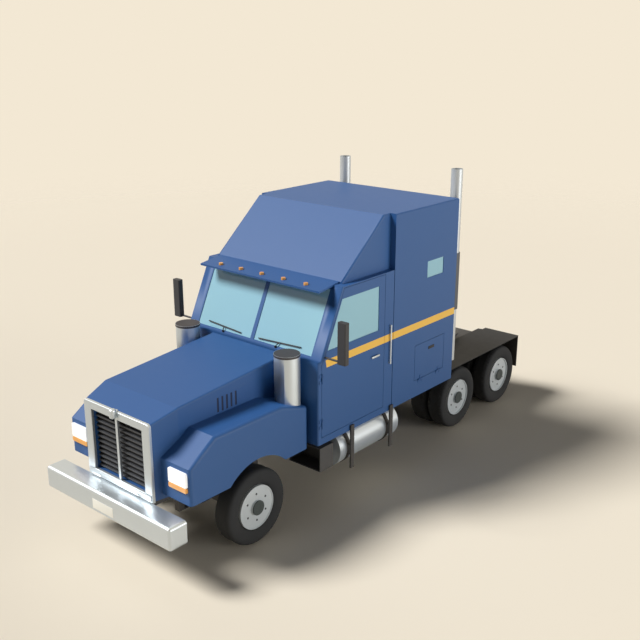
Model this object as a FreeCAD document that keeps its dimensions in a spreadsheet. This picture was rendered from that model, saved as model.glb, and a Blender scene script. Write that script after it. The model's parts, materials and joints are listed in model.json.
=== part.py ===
"""Semi truck tractor unit: a conventional 6x4 highway tractor with a high sleeper.

Lengths are in millimetres. +Z is up, the front faces -Y and the truck's left is +X.
Stations along the truck (y) are measured from the front axle; every finished piece is then
shifted together, so that the origin is at the middle of the truck's length, on the ground.
"""
import FreeCAD, Part
import math
import os
import Sketcher
from FreeCAD import Rotation, Vector

doc = FreeCAD.newDocument("TractorUnit")
sheet = doc.addObject("Spreadsheet::Sheet", "Sizes")

# ---------------------------------------------------------------- driving dimensions
# alias, millimetres (or degrees), what it is
SIZES = [
    ("tyre_radius", 507, "rolling radius of every tyre"),
    ("tyre_width", 276, "section width of every tyre"),
    ("tyre_shoulder", 34, "drop from the tread to the top of the sidewall"),
    ("rim_radius", 292, "bead seat radius"),
    ("rim_skin", 12, "thickness of rim barrel and disc"),
    ("hub_radius", 96, "wheel hub and its cap"),
    ("hand_hole", 16, "radius of a recess in a wheel disc"),
    ("stud_ring", 182, "radius of the ring of those recesses"),
    ("front_face", 1113, "outer sidewall of a front tyre from the centre plane"),
    ("rear_face", 1114, "outer sidewall of a rear tyre from the centre plane"),
    ("dual_gap", 56, "gap between the two tyres of a pair"),
    ("front_dish", 22, "how far a front disc sits inside the tyre's outer face"),
    ("rear_dish", 30, "how far a rear disc sits inside the tyre's outer face"),
    ("kingpin_place", 880, "kingpin from the centre plane"),
    ("kingpin_radius", 25, "kingpin"),
    ("spindle_radius", 38, "wheel spindle"),
    ("running_fit", 0.05, "radial clearance of a turning fit"),
    ("steer_arm", 190, "tie rod ball from the kingpin"),
    ("drive_axle", 4656, "first drive axle behind the front axle"),
    ("tandem_spacing", 1320, "between the two drive axles"),
    ("rail_spread", 860, "outer width of the frame"),
    ("rail_depth", 265, "height of a frame rail"),
    ("rail_flange", 80, "width of a rail's flanges"),
    ("rail_skin", 10, "thickness of a rail"),
    ("rail_top", 1005, "top of the frame"),
    ("rail_rear", 6440, "rear end of the frame"),
    ("bumper_width", 2404, "bumper"),
    ("bumper_front", -1496, "front face of the bumper"),
    ("bumper_rear", -1237, "rear edge of the bumper"),
    ("bumper_bottom", 605, "lower edge of the bumper"),
    ("bumper_top", 907, "upper edge of the bumper"),
    ("bumper_skin", 14, "thickness of the bumper"),
    ("bumper_round", 42, "rounding of the bumper's edges"),
    ("cab_width", 2512, "over the cab's and sleeper's sides"),
    ("wall", 60, "whole thickness of cab walls and doors"),
    ("cab_front", 995, "front face of the cab"),
    ("cab_rear", 2596, "rear of the cab"),
    ("cab_floor", 1027, "underside of the cab and sleeper"),
    ("cowl_height", 2180, "top of the cab's front face"),
    ("cowl_depth", 65, "ledge in front of the windscreen"),
    ("cowl_rise", 12, "rise of that ledge"),
    ("roof_ledge", 104, "roof ahead of the fairing's foot"),
    ("cab_roof", 3088, "top of the cab roof"),
    ("cab_round", 28, "rounding of the cab's front corners"),
    ("screen_half", 1070, "half width of the windscreen"),
    ("screen_bar", 64, "bar between the two windscreen panes"),
    ("screen_lip", 22, "lower edge of the windscreen above the cowl"),
    ("screen_drop", 58, "upper edge of the windscreen below the roof"),
    ("glass_skin", 10, "thickness of window glass"),
    ("glass_inset", 8, "glass behind the outer face"),
    ("door_front", 1067, "front edge of the door"),
    ("door_rear", 2393, "rear edge of the door"),
    ("door_bottom", 1129, "lower edge of the door"),
    ("door_header", 24, "roof rail above the door"),
    ("door_gap", 6, "gap round every door"),
    ("pillar_width", 44, "windscreen pillar, measured level"),
    ("window_rise", 123, "lower edge of the door window above the cowl"),
    ("window_drop", 158, "upper edge of the door window below the roof"),
    ("window_rear", 2260, "rear edge of the door window"),
    ("window_margin", 22, "door frame ahead of its window, measured level"),
    ("joint_gap", 12, "groove between cab and sleeper"),
    ("joint_inset", 20, "depth of that groove"),
    ("sleeper_rear", 4173, "rear face of the sleeper"),
    ("sleeper_roof", 3861, "top of the sleeper"),
    ("roof_round", 26, "rounding of the sleeper's upper edges"),
    ("port_front", 3405, "front edge of the sleeper window"),
    ("port_rear", 3818, "rear edge of the sleeper window"),
    ("port_bottom", 2805, "lower edge of the sleeper window"),
    ("port_top", 3050, "upper edge of the sleeper window"),
    ("locker_front", 3159, "front edge of the luggage door"),
    ("locker_rear", 3915, "rear edge of the luggage door"),
    ("locker_bottom", 1288, "lower edge of the luggage door"),
    ("locker_top", 1830, "upper edge of the luggage door"),
    ("bunk_top", 2000, "top of the mattress"),
    ("bunk_thick", 130, "mattress with its base"),
    ("bunk_front", 3060, "front edge of the bunk"),
    ("dash_deep", 290, "depth of the dashboard"),
    ("dash_tall", 420, "height of the dashboard"),
    ("seat_front", 1650, "front edge of the seats"),
    ("seat_long", 510, "length of a seat"),
    ("seat_half", 250, "half width of a seat"),
    ("seat_level", 1500, "underside of the cushions"),
    ("seat_thick", 140, "thickness of a cushion"),
    ("seat_tall", 860, "top of the backrests above that underside"),
    ("seat_lean", 110, "how far a backrest leans"),
    ("fairing_width", 2330, "roof fairing"),
    ("fairing_foot", 1584, "front edge of the fairing"),
    ("fairing_brow", 2452, "top of the fairing's slope"),
    ("fairing_skin", 30, "thickness of the fairing"),
    ("fairing_round", 28, "rounding along the fairing's upper edges"),
    ("visor_width", 2214, "sun visor at its front edge"),
    ("visor_front", 1190, "front edge of the visor"),
    ("visor_front_top", 3062, "top of the visor at its front edge"),
    ("visor_skin", 26, "thickness of the visor"),
    ("marker_pitch", 396, "between roof marker lamps"),
    ("marker_radius", 30, "marker lamp"),
    ("hood_gap", 10, "gap between hood and cab"),
    ("hood_skin", 30, "thickness of hood and fenders"),
    ("hood_width", 1380, "hood behind its bend"),
    ("hood_bend", -859, "station of the hood's bend"),
    ("hood_bend_top", 2028, "top of the hood at its bend"),
    ("hood_bottom", 1040, "lower edge of the hood's sides"),
    ("apron_bottom", 930, "lower edge of the hood ahead of the fenders"),
    ("apron_rear", -700, "rear end of that lower edge"),
    ("hood_round", 26, "rounding of the hood's shoulders"),
    ("grille_front", -1244, "front face of the grille surround"),
    ("grille_depth", 40, "depth of the grille surround"),
    ("grille_wall", 55, "depth of the hood's front wall behind the surround"),
    ("grille_round", 12, "rounding of the surround's front edges"),
    ("grille_width", 1240, "grille surround"),
    ("grille_top", 1918, "top of the grille surround"),
    ("grille_foot", 913, "bottom of the grille surround"),
    ("grille_open", 968, "width of the grille opening"),
    ("grille_sill", 1006, "bottom of the grille opening"),
    ("grille_head", 1811, "top of the grille opening"),
    ("grille_bar", 40, "bar down the middle of the grille"),
    ("slat_thick", 22, "thickness of a slat"),
    ("slat_depth", 24, "depth of a slat"),
    ("slat_inset", 70, "slats behind the surround's face"),
    ("fender_width", 2294, "over both fenders"),
    ("fender_front", -1106, "front face of the fenders"),
    ("fender_brow", 1468, "top of that front face"),
    ("fender_knee", -700, "front end of the fender's level top"),
    ("fender_top", 1740, "level top of the fender"),
    ("fender_bend", 440, "rear end of the level top"),
    ("fender_shelf", 1594, "rear end of the fender's sloping top"),
    ("fender_rear", 915, "rear face of the fenders"),
    ("fender_bottom", 1000, "lower edge of the fenders"),
    ("fender_round", 45, "rounding of the fender's outer edges"),
    ("arch_radius", 692, "wheel arch about the front axle"),
    ("lamp_inner", 786, "inner edge of a headlamp"),
    ("lamp_outer", 1098, "outer edge of a headlamp"),
    ("lamp_bottom", 1226, "lower edge of a headlamp"),
    ("lamp_top", 1412, "upper edge of a headlamp"),
    ("turn_height", 66, "height of a turn lamp"),
    ("lamp_proud", 30, "lamps in front of the fender's face"),
    ("lamp_round", 22, "rounding of the lamps"),
    ("louvre_pitch", 76, "between louvres on the hood's side"),
    ("louvre_slot", 30, "width of one louvre"),
    ("louvre_tall", 190, "height of a louvre"),
    ("louvre_start", -238, "first louvre"),
    ("louvre_top", 1952, "upper end of the louvres"),
    ("cleaner_place", 939, "air cleaner from the centre plane"),
    ("cleaner_station", 756, "air cleaner behind the front axle"),
    ("cleaner_radius", 168, "air cleaner"),
    ("cleaner_top", 2288, "top of the air cleaner's drum"),
    ("cleaner_cap", 30, "height of its cap"),
    ("cap_overhang", 4, "how far that cap stands out"),
    ("hood_pivot", -1210, "hood hinge behind the front axle"),
    ("hood_pivot_height", 955, "hood hinge above the ground"),
    ("mirror_place", 1550, "middle of the mirror head"),
    ("mirror_station", 1131, "mirror behind the front axle"),
    ("mirror_width", 140, "mirror head across"),
    ("mirror_thick", 84, "mirror head along the truck"),
    ("mirror_round", 22, "rounding of the mirror head's upright edges"),
    ("mirror_bottom", 2207, "lower end of the mirror head"),
    ("mirror_top", 2761, "upper end of the mirror head"),
    ("arm_radius", 14, "mirror arm"),
    ("arm_rise", 18, "mirror arm above the head's lower end"),
    ("arm_back", 8, "mirror arm behind the middle of the head"),
    ("tank_radius", 270, "fuel tank"),
    ("tank_place", 950, "tank axis from the centre plane"),
    ("tank_height", 735, "tank axis above the ground"),
    ("tank_front", 1500, "front end of the tank"),
    ("tank_rear", 2830, "rear end of the tank"),
    ("strap_wide", 70, "tank strap"),
    ("strap_skin", 8, "thickness of a strap"),
    ("guard_gap", 6, "guard bar beyond the cab's side"),
    ("guard_skin", 24, "thickness of a guard bar"),
    ("guard_bottom", 466, "lower end of a guard bar"),
    ("guard_top", 1105, "upper end of a guard bar"),
    ("step_front", 1038, "front of the step box"),
    ("step_rear", 1307, "rear of the step box"),
    ("step_outer", 1250, "outer side of the step box"),
    ("step_inner", 700, "inner side of the step box"),
    ("step_bottom", 630, "underside of the lower step"),
    ("step_top", 970, "top of the step box"),
    ("step_skin", 14, "thickness of the step plates"),
    ("stack_place", 1066, "exhaust stack from the centre plane"),
    ("stack_station", 4377, "exhaust stacks behind the front axle"),
    ("stack_radius", 88, "exhaust stack"),
    ("stack_skin", 6, "wall of the stack"),
    ("stack_bottom", 1244, "lower end of the stack"),
    ("stack_top", 4246, "upper end of the stack"),
    ("shield_skin", 14, "thickness of the heat shield"),
    ("shield_bottom", 2086, "lower end of the heat shield"),
    ("shield_top", 2980, "upper end of the heat shield"),
    ("deck_inner", 405, "inner edge of the rear fender plates"),
    ("deck_outer", 1143, "outer edge of the rear fender plates"),
    ("deck_front", 4240, "front edge of those plates"),
    ("deck_rear", 6517, "rear edge of those plates"),
    ("deck_top", 1092, "top of those plates"),
    ("deck_skin", 16, "thickness of those plates"),
    ("notch_inner", 483, "inner edge of those plates between the tail lamps"),
    ("notch_front", 6400, "front end of that inner edge"),
    ("catwalk_front", 4240, "front edge of the plate behind the sleeper"),
    ("catwalk_rear", 4800, "rear edge of that plate"),
    ("flap_station", 6497, "mud flap behind the front axle"),
    ("flap_bottom", 523, "lower edge of a mud flap"),
    ("flap_skin", 14, "thickness of a mud flap"),
    ("plate_radius", 455, "fifth wheel plate"),
    ("plate_top", 1205, "coupling face of the fifth wheel"),
    ("plate_skin", 36, "thickness of its plate"),
    ("plate_shift", 190, "coupling behind the middle between the drive axles"),
    ("bed_front", 4900, "front edge of the plate under the fifth wheel"),
    ("bed_rear", 6290, "rear edge of that plate"),
    ("bed_skin", 16, "thickness of the plates on the rails"),
    ("kingpin_bore", 25.4, "radius of the hole that holds the trailer's kingpin"),
    ("trunnion_radius", 28, "pin that the plate tilts on"),
    ("axle_tube", 72, "radius of a drive axle's tube"),
    ("bowl_radius", 205, "radius of a drive axle's gear bowl"),
    ("arm_place", 400, "suspension arms from the centre plane"),
    ("arm_wide", 76, "width of a suspension arm"),
    ("spring_reach", 700, "half length of a front spring"),
    ("beam_height", 92, "height of the front axle beam"),
    ("beam_wide", 104, "front axle beam along the truck"),
    ("engine_front", -700, "front of the engine"),
    ("engine_rear", 780, "rear of the engine"),
    ("engine_half", 335, "half width of the engine"),
    ("engine_bottom", 650, "underside of the engine"),
    ("engine_top", 1840, "top of the engine"),
    ("radiator_deep", 100, "depth of the radiator"),
    ("shaft_radius", 48, "propeller shafts"),
    ("shaft_hole", 75, "hole for the shaft in a crossmember"),
    ("shaft_height", 840, "front propeller shaft above the ground"),
    ("nose_radius", 62, "pinion housing of a drive axle"),
    ("nose_length", 46, "pinion housing beyond the gear bowl"),
    ("gearbox_rear", 1620, "rear of the gearbox"),
    ("gearbox_half", 210, "half width of the gearbox"),
    ("gearbox_top", 1000, "top of the gearbox"),
    ("hinge_radius", 10, "barrel of a door hinge"),
    ("hinge_leaf", 50, "leaf of a door hinge"),
    ("hinge_skin", 6, "thickness of that leaf"),
    ("hinge_length", 132, "length of a door hinge"),
    ("hinge_pin", 5, "radius of a door hinge's pin"),
    ("hinge_play", 0.5, "gap between the barrels of a hinge"),
    ("hood_pin", 12, "radius of the hood's hinge pins"),
    ("column_radius", 32, "steering column"),
    ("driver_place", 560, "middle of the steering wheel from the centre plane"),
    ("column_station", 1430, "middle of the steering wheel behind the front axle"),
    ("column_drop", 30, "middle of the steering wheel below the cowl"),
    ("column_shaft", 12, "shaft in the steering column"),
    ("wheel_rim", 225, "radius of the steering wheel"),
    ("wheel_grip", 26, "thickness of its ring"),
    ("column_length", 250, "steering column below the wheel"),
    ("column_tilt", 40, "degrees between the steering column and upright"),
]


class Size:
    """A number together with the spreadsheet expression that it comes from."""

    def __init__(self, number, text):
        self.number, self.text = float(number), text

    def __float__(self):
        return self.number

    def __add__(self, other):
        other = as_size(other)
        return Size(self.number + other.number, f"({self.text} + {other.text})")

    def __sub__(self, other):
        other = as_size(other)
        return Size(self.number - other.number, f"({self.text} - {other.text})")

    def __mul__(self, other):
        other = as_size(other)
        return Size(self.number * other.number, f"({self.text} * {other.text})")

    def __truediv__(self, other):
        other = as_size(other)
        return Size(self.number / other.number, f"({self.text} / {other.text})")

    def __radd__(self, other):
        return as_size(other) + self

    def __rsub__(self, other):
        return as_size(other) - self

    def __rmul__(self, other):
        return as_size(other) * self

    def __neg__(self):
        return Size(-self.number, f"(0 - {self.text})")


def as_size(thing):
    """A plain number becomes a Size with the number as its expression."""
    if isinstance(thing, Size):
        return thing
    return Size(thing, f"({thing:g})")


class Dimensions:
    """The spreadsheet's cells, read by their aliases: dim.wall and so on."""


dim = Dimensions()
for row, (alias, number, meaning) in enumerate(SIZES, start=1):
    sheet.set(f"A{row}", meaning)
    sheet.set(f"B{row}", str(number))
    sheet.setAlias(f"B{row}", alias)
    setattr(dim, alias, Size(number, f"Sizes.{alias}"))
doc.recompute()

# stations and heights that follow from the driving dimensions
cab_half = dim.cab_width / 2
roof_front = dim.fairing_foot - dim.roof_ledge
rail_half = dim.rail_spread / 2
hood_half = dim.hood_width / 2
hood_rear = dim.cab_front - dim.hood_gap
grille_back = dim.grille_front + dim.grille_depth
door_top = dim.cab_roof - dim.door_header
screen_foot = dim.cab_front + dim.cowl_depth
screen_foot_height = dim.cowl_height + dim.cowl_rise
pillar_slope = (roof_front - screen_foot) / (dim.cab_roof - screen_foot_height)
pillar_stretch = Size(math.hypot(1, pillar_slope.number), f"sqrt(1 + {pillar_slope.text} ^ 2)")
screen_base = screen_foot_height + dim.screen_lip
screen_head = dim.cab_roof - dim.screen_drop
window_bottom = dim.cowl_height + dim.window_rise
window_top = dim.cab_roof - dim.window_drop
wheel_height = dim.cowl_height - dim.column_drop
column_gap = dim.column_radius - 2
sleeper_front = dim.cab_rear + dim.joint_gap
second_drive_axle = dim.drive_axle + dim.tandem_spacing
rail_front = grille_back + 60
rail_bottom = dim.rail_top - dim.rail_depth
deck_bottom = dim.deck_top - dim.deck_skin
middle_shift = -(dim.bumper_front + dim.deck_rear) / 2


# ---------------------------------------------------------------- ways of making pieces
def bind(thing, **sizes):
    """Tie properties to the spreadsheet; a double underscore stands for a dot."""
    for name, size in sizes.items():
        thing.setExpression(name.replace("__", "."), as_size(size).text)


def place(thing, x=0, y=0, z=0):
    """Tie a piece's position to the spreadsheet."""
    bind(thing, Placement__Base__x=x, Placement__Base__y=y, Placement__Base__z=z)
    return thing


def block(low, high):
    """A box from its lowest to its highest corner."""
    box = doc.addObject("Part::Box", "Block")
    bind(box, Length=high[0] - as_size(low[0]), Width=high[1] - as_size(low[1]),
         Height=high[2] - as_size(low[2]))
    return place(box, *low)


def rod(foot, axis, radius, length):
    """A cylinder from its foot along X, Y or Z."""
    cylinder = doc.addObject("Part::Cylinder", "Rod")
    turn = {"X": Rotation(Vector(0, 1, 0), 90), "Y": Rotation(Vector(1, 0, 0), -90), "Z": Rotation()}
    cylinder.Placement.Rotation = turn[axis]
    bind(cylinder, Radius=radius, Height=length)
    return place(cylinder, *foot)


def outline(body, plane, start, loops):
    """A closed sketch parallel to an origin plane, every corner tied to the spreadsheet."""
    support = [part for part in body.Origin.OriginFeatures if part.Role == plane + "_Plane"][0]
    sketch = body.newObject("Sketcher::SketchObject", "Outline")
    sketch.AttachmentSupport = (support, [""])
    sketch.MapMode = "FlatFace"
    bind(sketch, AttachmentOffset__Base__z=start)
    for corners in loops:
        first = sketch.GeometryCount
        places = [Vector(float(across), float(up), 0) for across, up in corners]
        count = len(places)
        for index in range(count):
            sketch.addGeometry(Part.LineSegment(places[index], places[(index + 1) % count]))
        for index in range(count):
            line, following = first + index, first + (index + 1) % count
            sketch.addConstraint(Sketcher.Constraint("Coincident", line, 2, following, 1))
        for index, (across, up) in enumerate(corners):
            for direction, size in (("DistanceX", across), ("DistanceY", up)):
                size = as_size(size)
                rule = Sketcher.Constraint(direction, -1, 1, first + index, 1, size.number)
                number = sketch.addConstraint(rule)
                sketch.setExpression(f"Constraints[{number}]", size.text)
    return sketch


def side_profile(corners, low, high, *holes):
    """A body with a side view outline of (y, z) corners, from x = low to x = high."""
    body = doc.addObject("PartDesign::Body", "Body")
    pad = body.newObject("PartDesign::Pad", "Pad")
    pad.Profile = outline(body, "YZ", low, [corners, *holes])
    bind(pad, Length=high - as_size(low))
    return body


def front_profile(corners, low, high, *holes):
    """A body with a front view outline of (x, z) corners, from y = low to y = high."""
    body = doc.addObject("PartDesign::Body", "Body")
    pad = body.newObject("PartDesign::Pad", "Pad")
    pad.Profile = outline(body, "XZ", -as_size(high), [corners, *holes])
    bind(pad, Length=high - as_size(low))
    return body


def plan_profile(corners, low, high, *holes):
    """A body with a plan view outline of (x, y) corners, from z = low to z = high."""
    body = doc.addObject("PartDesign::Body", "Body")
    pad = body.newObject("PartDesign::Pad", "Pad")
    pad.Profile = outline(body, "XY", low, [corners, *holes])
    bind(pad, Length=high - as_size(low))
    return body


def turned(corners):
    """A body of revolution about the X axis; corners are (x, radius)."""
    body = doc.addObject("PartDesign::Body", "Body")
    turn = body.newObject("PartDesign::Revolution", "Revolution")
    turn.Profile = outline(body, "XY", 0, [corners])
    axis = [part for part in body.Origin.OriginFeatures if part.Role == "X_Axis"][0]
    turn.ReferenceAxis = (axis, [""])
    turn.Angle = 360
    return body


def rounded(body, radius, chosen):
    """Round the edges of a body's last feature for which chosen(start, end) is true."""
    doc.recompute()
    last = body.Tip
    names = []
    for number, edge in enumerate(last.Shape.Edges, start=1):
        if len(edge.Vertexes) == 2 and chosen(edge.Vertexes[0].Point, edge.Vertexes[1].Point):
            names.append(f"Edge{number}")
    fillet = body.newObject("PartDesign::Fillet", "Fillet")
    fillet.Base = (last, names)
    bind(fillet, Radius=radius)
    return body


def near(number, size):
    """Whether a coordinate is at a size."""
    return abs(number - float(size)) < 0.01


def fused(*pieces):
    """Several overlapping or touching pieces as one."""
    join = doc.addObject("Part::MultiFuse", "Fusion")
    join.Shapes = list(pieces)
    return join


def cut(base, *tools):
    """A piece with others taken away."""
    removal = doc.addObject("Part::Cut", "Cut")
    removal.Base = base
    removal.Tool = tools[0] if len(tools) == 1 else together(*tools)
    return removal


def together(*pieces):
    """Pieces that don't touch, kept as separate solids of one object."""
    group = doc.addObject("Part::Compound", "Group")
    group.Links = list(pieces)
    return group


def mirrored(piece):
    """The same piece on the other side of the truck."""
    twin = doc.addObject("Part::Mirroring", "Mirror")
    twin.Source = piece
    twin.Normal = Vector(1, 0, 0)
    return twin


def both_sides(piece):
    """A piece and its twin on the other side."""
    return together(piece, mirrored(piece))


NODES = []


def node(name, *pieces):
    """A finished sub-part: named, and shifted so that the origin is mid-length."""
    whole = doc.addObject("Part::Compound", name)
    whole.Label = name
    whole.Links = list(pieces)
    place(whole, 0, middle_shift, 0)
    NODES.append(whole)


def left_and_right(name, piece):
    """Two sub-parts, NAME_left and its twin NAME_right."""
    node(name + "_left", piece)
    node(name + "_right", mirrored(piece))


# ---------------------------------------------------------------- frame and running gear
def frame_rails():
    """Two channel rails with their flanges turned inwards."""
    web = block((rail_half - dim.rail_skin, rail_front, rail_bottom),
                (rail_half, dim.rail_rear, dim.rail_top))
    flanges = [block((rail_half - dim.rail_flange, rail_front, low),
                     (rail_half, dim.rail_rear, low + dim.rail_skin))
               for low in (rail_bottom, dim.rail_top - dim.rail_skin)]
    node("frame_rails", both_sides(fused(web, *flanges)))


# how far along the rails
CROSSMEMBER_SHARES = (0.006, 0.378, 0.554, 0.678, 0.836, 0.988)


def crossmembers():
    """Channels between the rails, open towards the rear, and the pads under cab and sleeper."""
    inside = rail_half - dim.rail_skin
    low = rail_bottom + dim.rail_skin
    high = dim.rail_top - dim.rail_skin
    channels = []
    for share in CROSSMEMBER_SHARES:
        station = rail_front + (dim.rail_rear - rail_front) * share
        body = block((-inside, station, low), (inside, station + dim.rail_flange, high))
        hollow = block((-inside, station + dim.rail_skin, low + dim.rail_skin),
                       (inside, station + dim.rail_flange, high - dim.rail_skin))
        hole = rod((0, station, dim.shaft_height), "Y", dim.shaft_hole, dim.rail_flange)
        channels.append(cut(body, hollow, hole))
    mounts = []
    for front, rear in ((dim.cab_front, dim.cab_rear), (sleeper_front, dim.sleeper_rear)):
        for station in (front + 2 * dim.wall, rear - 2 * dim.wall - dim.rail_flange):
            mounts.append(block((rail_half - dim.rail_flange, station, dim.rail_top),
                                (rail_half, station + dim.rail_flange, dim.cab_floor)))
    node("crossmembers", together(*channels, both_sides(together(*mounts))))


def bumper():
    """A rounded box open at the back; its brackets on the rails carry the hood's hinge pins."""
    half = dim.bumper_width / 2
    shell = plan_profile([(-half, dim.bumper_front), (half, dim.bumper_front),
                          (half, dim.bumper_rear), (-half, dim.bumper_rear)],
                         dim.bumper_bottom, dim.bumper_top)

    def outer_edge(start, end):
        return near(start.y, dim.bumper_front) or near(end.y, dim.bumper_front)

    rounded(shell, dim.bumper_round, outer_edge)
    hollow = block((-half + dim.bumper_skin, dim.bumper_front + dim.bumper_skin,
                    dim.bumper_bottom + dim.bumper_skin),
                   (half - dim.bumper_skin, dim.bumper_rear, dim.bumper_top - dim.bumper_skin))
    inside = rail_half - dim.rail_flange
    bracket = block((inside, dim.bumper_front + dim.bumper_skin, rail_bottom),
                    (rail_half, rail_front, dim.bumper_top - dim.bumper_skin))
    stand = block((inside + 14, dim.hood_pivot - 18, dim.bumper_top - dim.bumper_skin),
                  (inside + 26, dim.hood_pivot + 18, dim.hood_pivot_height + 14))
    pin = rod((inside + 14, dim.hood_pivot, dim.hood_pivot_height), "X", dim.hood_pin, 62)
    node("bumper", fused(cut(shell, hollow), both_sides(fused(bracket, stand, pin))))


def front_axle():
    """A dropped beam axle under a leaf spring at each rail."""
    half = dim.beam_wide / 2
    reach = dim.kingpin_place + 52
    low = dim.tyre_radius - 140
    beam = front_profile(
        [(-reach, dim.tyre_radius - 46), (-reach + 150, dim.tyre_radius - 46),
         (-600, low), (600, low), (reach - 150, dim.tyre_radius - 46),
         (reach, dim.tyre_radius - 46), (reach, dim.tyre_radius + 46),
         (reach - 150, dim.tyre_radius + 46), (600, low + dim.beam_height),
         (-600, low + dim.beam_height), (-reach + 150, dim.tyre_radius + 46),
         (-reach, dim.tyre_radius + 46)],
        -half, half)
    pin = both_sides(rod((dim.kingpin_place, 0, dim.tyre_radius - 84), "Z",
                         dim.kingpin_radius, 168))
    node("front_axle", fused(beam, pin))


def front_springs():
    """Leaf packs on the axle beam, hung from the rails by brackets at both ends."""
    width = dim.rail_flange
    seat = dim.tyre_radius - 140 + dim.beam_height
    reach = dim.spring_reach
    outer = rail_half
    leaf = 18
    pieces = []
    for number, length in enumerate((340, 520, reach - 40)):
        pieces.append(block((outer - width, -as_size(length), seat + number * leaf),
                            (outer, as_size(length), seat + (number + 1) * leaf)))
    for station in (-reach, reach - 90):
        pieces.append(block((outer - width, station, seat + 2 * leaf),
                            (outer, station + 90, rail_bottom)))
    node("front_springs", both_sides(fused(*pieces)))


def drive_axles():
    """Two axle tubes with gear bowls, each ending in the spindles of its wheels."""
    reach = dim.rear_face - dim.rear_dish - dim.rim_skin
    inner = dim.rear_face - 2 * dim.tyre_width - dim.dual_gap + 30
    axles = []
    for station in (dim.drive_axle, second_drive_axle):
        tube = rod((-inner, station, dim.tyre_radius), "X", dim.axle_tube, 2 * inner)
        spindles = rod((-reach, station, dim.tyre_radius), "X", dim.spindle_radius, 2 * reach)
        bowl = rod((-120, station, dim.tyre_radius), "X", dim.bowl_radius, 240)
        nose = dim.bowl_radius + dim.nose_length
        rear = nose if station is dim.drive_axle else 0
        housing = rod((0, station - nose, dim.tyre_radius), "Y", dim.nose_radius, nose + rear)
        axles.append(fused(tube, spindles, bowl, housing))
    node("drive_axles", together(*axles))


def suspension_arms():
    """Arms over the drive axles, from a bracket ahead to an air spring under the rail behind."""
    low, high = dim.arm_place - dim.arm_wide / 2, dim.arm_place + dim.arm_wide / 2
    over = dim.tyre_radius + dim.axle_tube
    arms = []
    for station in (dim.drive_axle, second_drive_axle):
        arm = side_profile([(station - 520, over), (station + 120, over), (station + 200, over - 90),
                            (station + 420, over - 90), (station + 420, over - 40),
                            (station + 230, over - 40), (station + 150, over + 60),
                            (station - 420, over + 60), (station - 420, rail_bottom),
                            (station - 520, rail_bottom)], low, high)
        spring = rod((dim.arm_place, station + 320, over - 40), "Z", 90, rail_bottom - over + 40)
        arms.append(fused(arm, spring))
    node("suspension_arms", both_sides(together(*arms)))


def engine_block():
    """The engine as one plain block, on a mount at each corner."""
    block_low = (-dim.engine_half, dim.engine_front, dim.engine_bottom)
    body = block(block_low, (dim.engine_half, dim.engine_rear, dim.engine_top))
    mounts = []
    for station in (dim.engine_front + 120, dim.engine_rear - 200):
        mounts.append(block((dim.engine_half, station, dim.rail_top),
                            (rail_half, station + 90, dim.rail_top + 50)))
    node("engine_block", fused(body, both_sides(together(*mounts))))


def driveline():
    """Gearbox behind the engine and propeller shafts to both drive axles."""
    nose = dim.bowl_radius + dim.nose_length
    end = dim.drive_axle - nose
    half, ease = dim.gearbox_half, dim.shaft_radius
    box = block((-half, dim.engine_rear, dim.engine_bottom + ease / 2),
                (half, dim.gearbox_rear, dim.gearbox_top))
    first = rod((0, dim.gearbox_rear, dim.shaft_height), "Y", dim.shaft_radius,
                end - 3 * ease - dim.gearbox_rear)
    drop = block((-ease - 10, end - 3 * ease, dim.tyre_radius - ease),
                 (ease + 10, end, dim.shaft_height + ease + 10))
    second = rod((0, dim.drive_axle + nose, dim.tyre_radius), "Y", dim.shaft_radius,
                 dim.tandem_spacing - 2 * nose)
    node("driveline", together(fused(box, first, drop), second))


def radiator():
    """Core behind the grille, standing on the front crossmember."""
    half = dim.grille_open / 2 + dim.hood_skin
    front = grille_back + dim.grille_wall + dim.hood_gap
    node("radiator", block((-half, front, dim.rail_top),
                           (half, front + dim.radiator_deep, dim.grille_head)))


def fuel_tanks():
    """A drum on each side, below the doors."""
    drum = rod((dim.tank_place, dim.tank_front, dim.tank_height), "Y", dim.tank_radius,
               dim.tank_rear - dim.tank_front)
    node("fuel_tanks", both_sides(drum))


STRAP_SHARES = (0.11, 0.778)


def tank_straps():
    """Two straps round each tank, on brackets from the frame rail, each with a guard bar outside."""
    outer = dim.tank_radius + dim.strap_skin
    length = dim.tank_rear - dim.tank_front
    guard = cab_half + dim.guard_gap
    straps = []
    for share in STRAP_SHARES:
        station = dim.tank_front + length * share
        end = station + dim.strap_wide
        ring = cut(rod((dim.tank_place, station, dim.tank_height), "Y", outer, dim.strap_wide),
                   rod((dim.tank_place, station, dim.tank_height), "Y", dim.tank_radius, dim.strap_wide))
        foot = block((rail_half, station, dim.tank_height - outer - dim.guard_skin),
                     (dim.tank_place, end, dim.tank_height - outer + dim.strap_skin / 2))
        post = block((rail_half, station, dim.tank_height - outer - dim.guard_skin),
                     (rail_half + dim.rail_flange / 2, end, dim.rail_top - 2 * dim.rail_skin))
        bar = block((guard, station, dim.guard_bottom), (guard + dim.guard_skin, end, dim.guard_top))
        spacer = block((dim.tank_place + dim.tank_radius, station, dim.tank_height - dim.strap_wide),
                       (guard, end, dim.tank_height + dim.strap_wide))
        straps.append(fused(ring, foot, post, bar, cut(spacer, rod(
            (dim.tank_place, station, dim.tank_height), "Y", dim.tank_radius, dim.strap_wide))))
    node("tank_straps", both_sides(together(*straps)))


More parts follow.
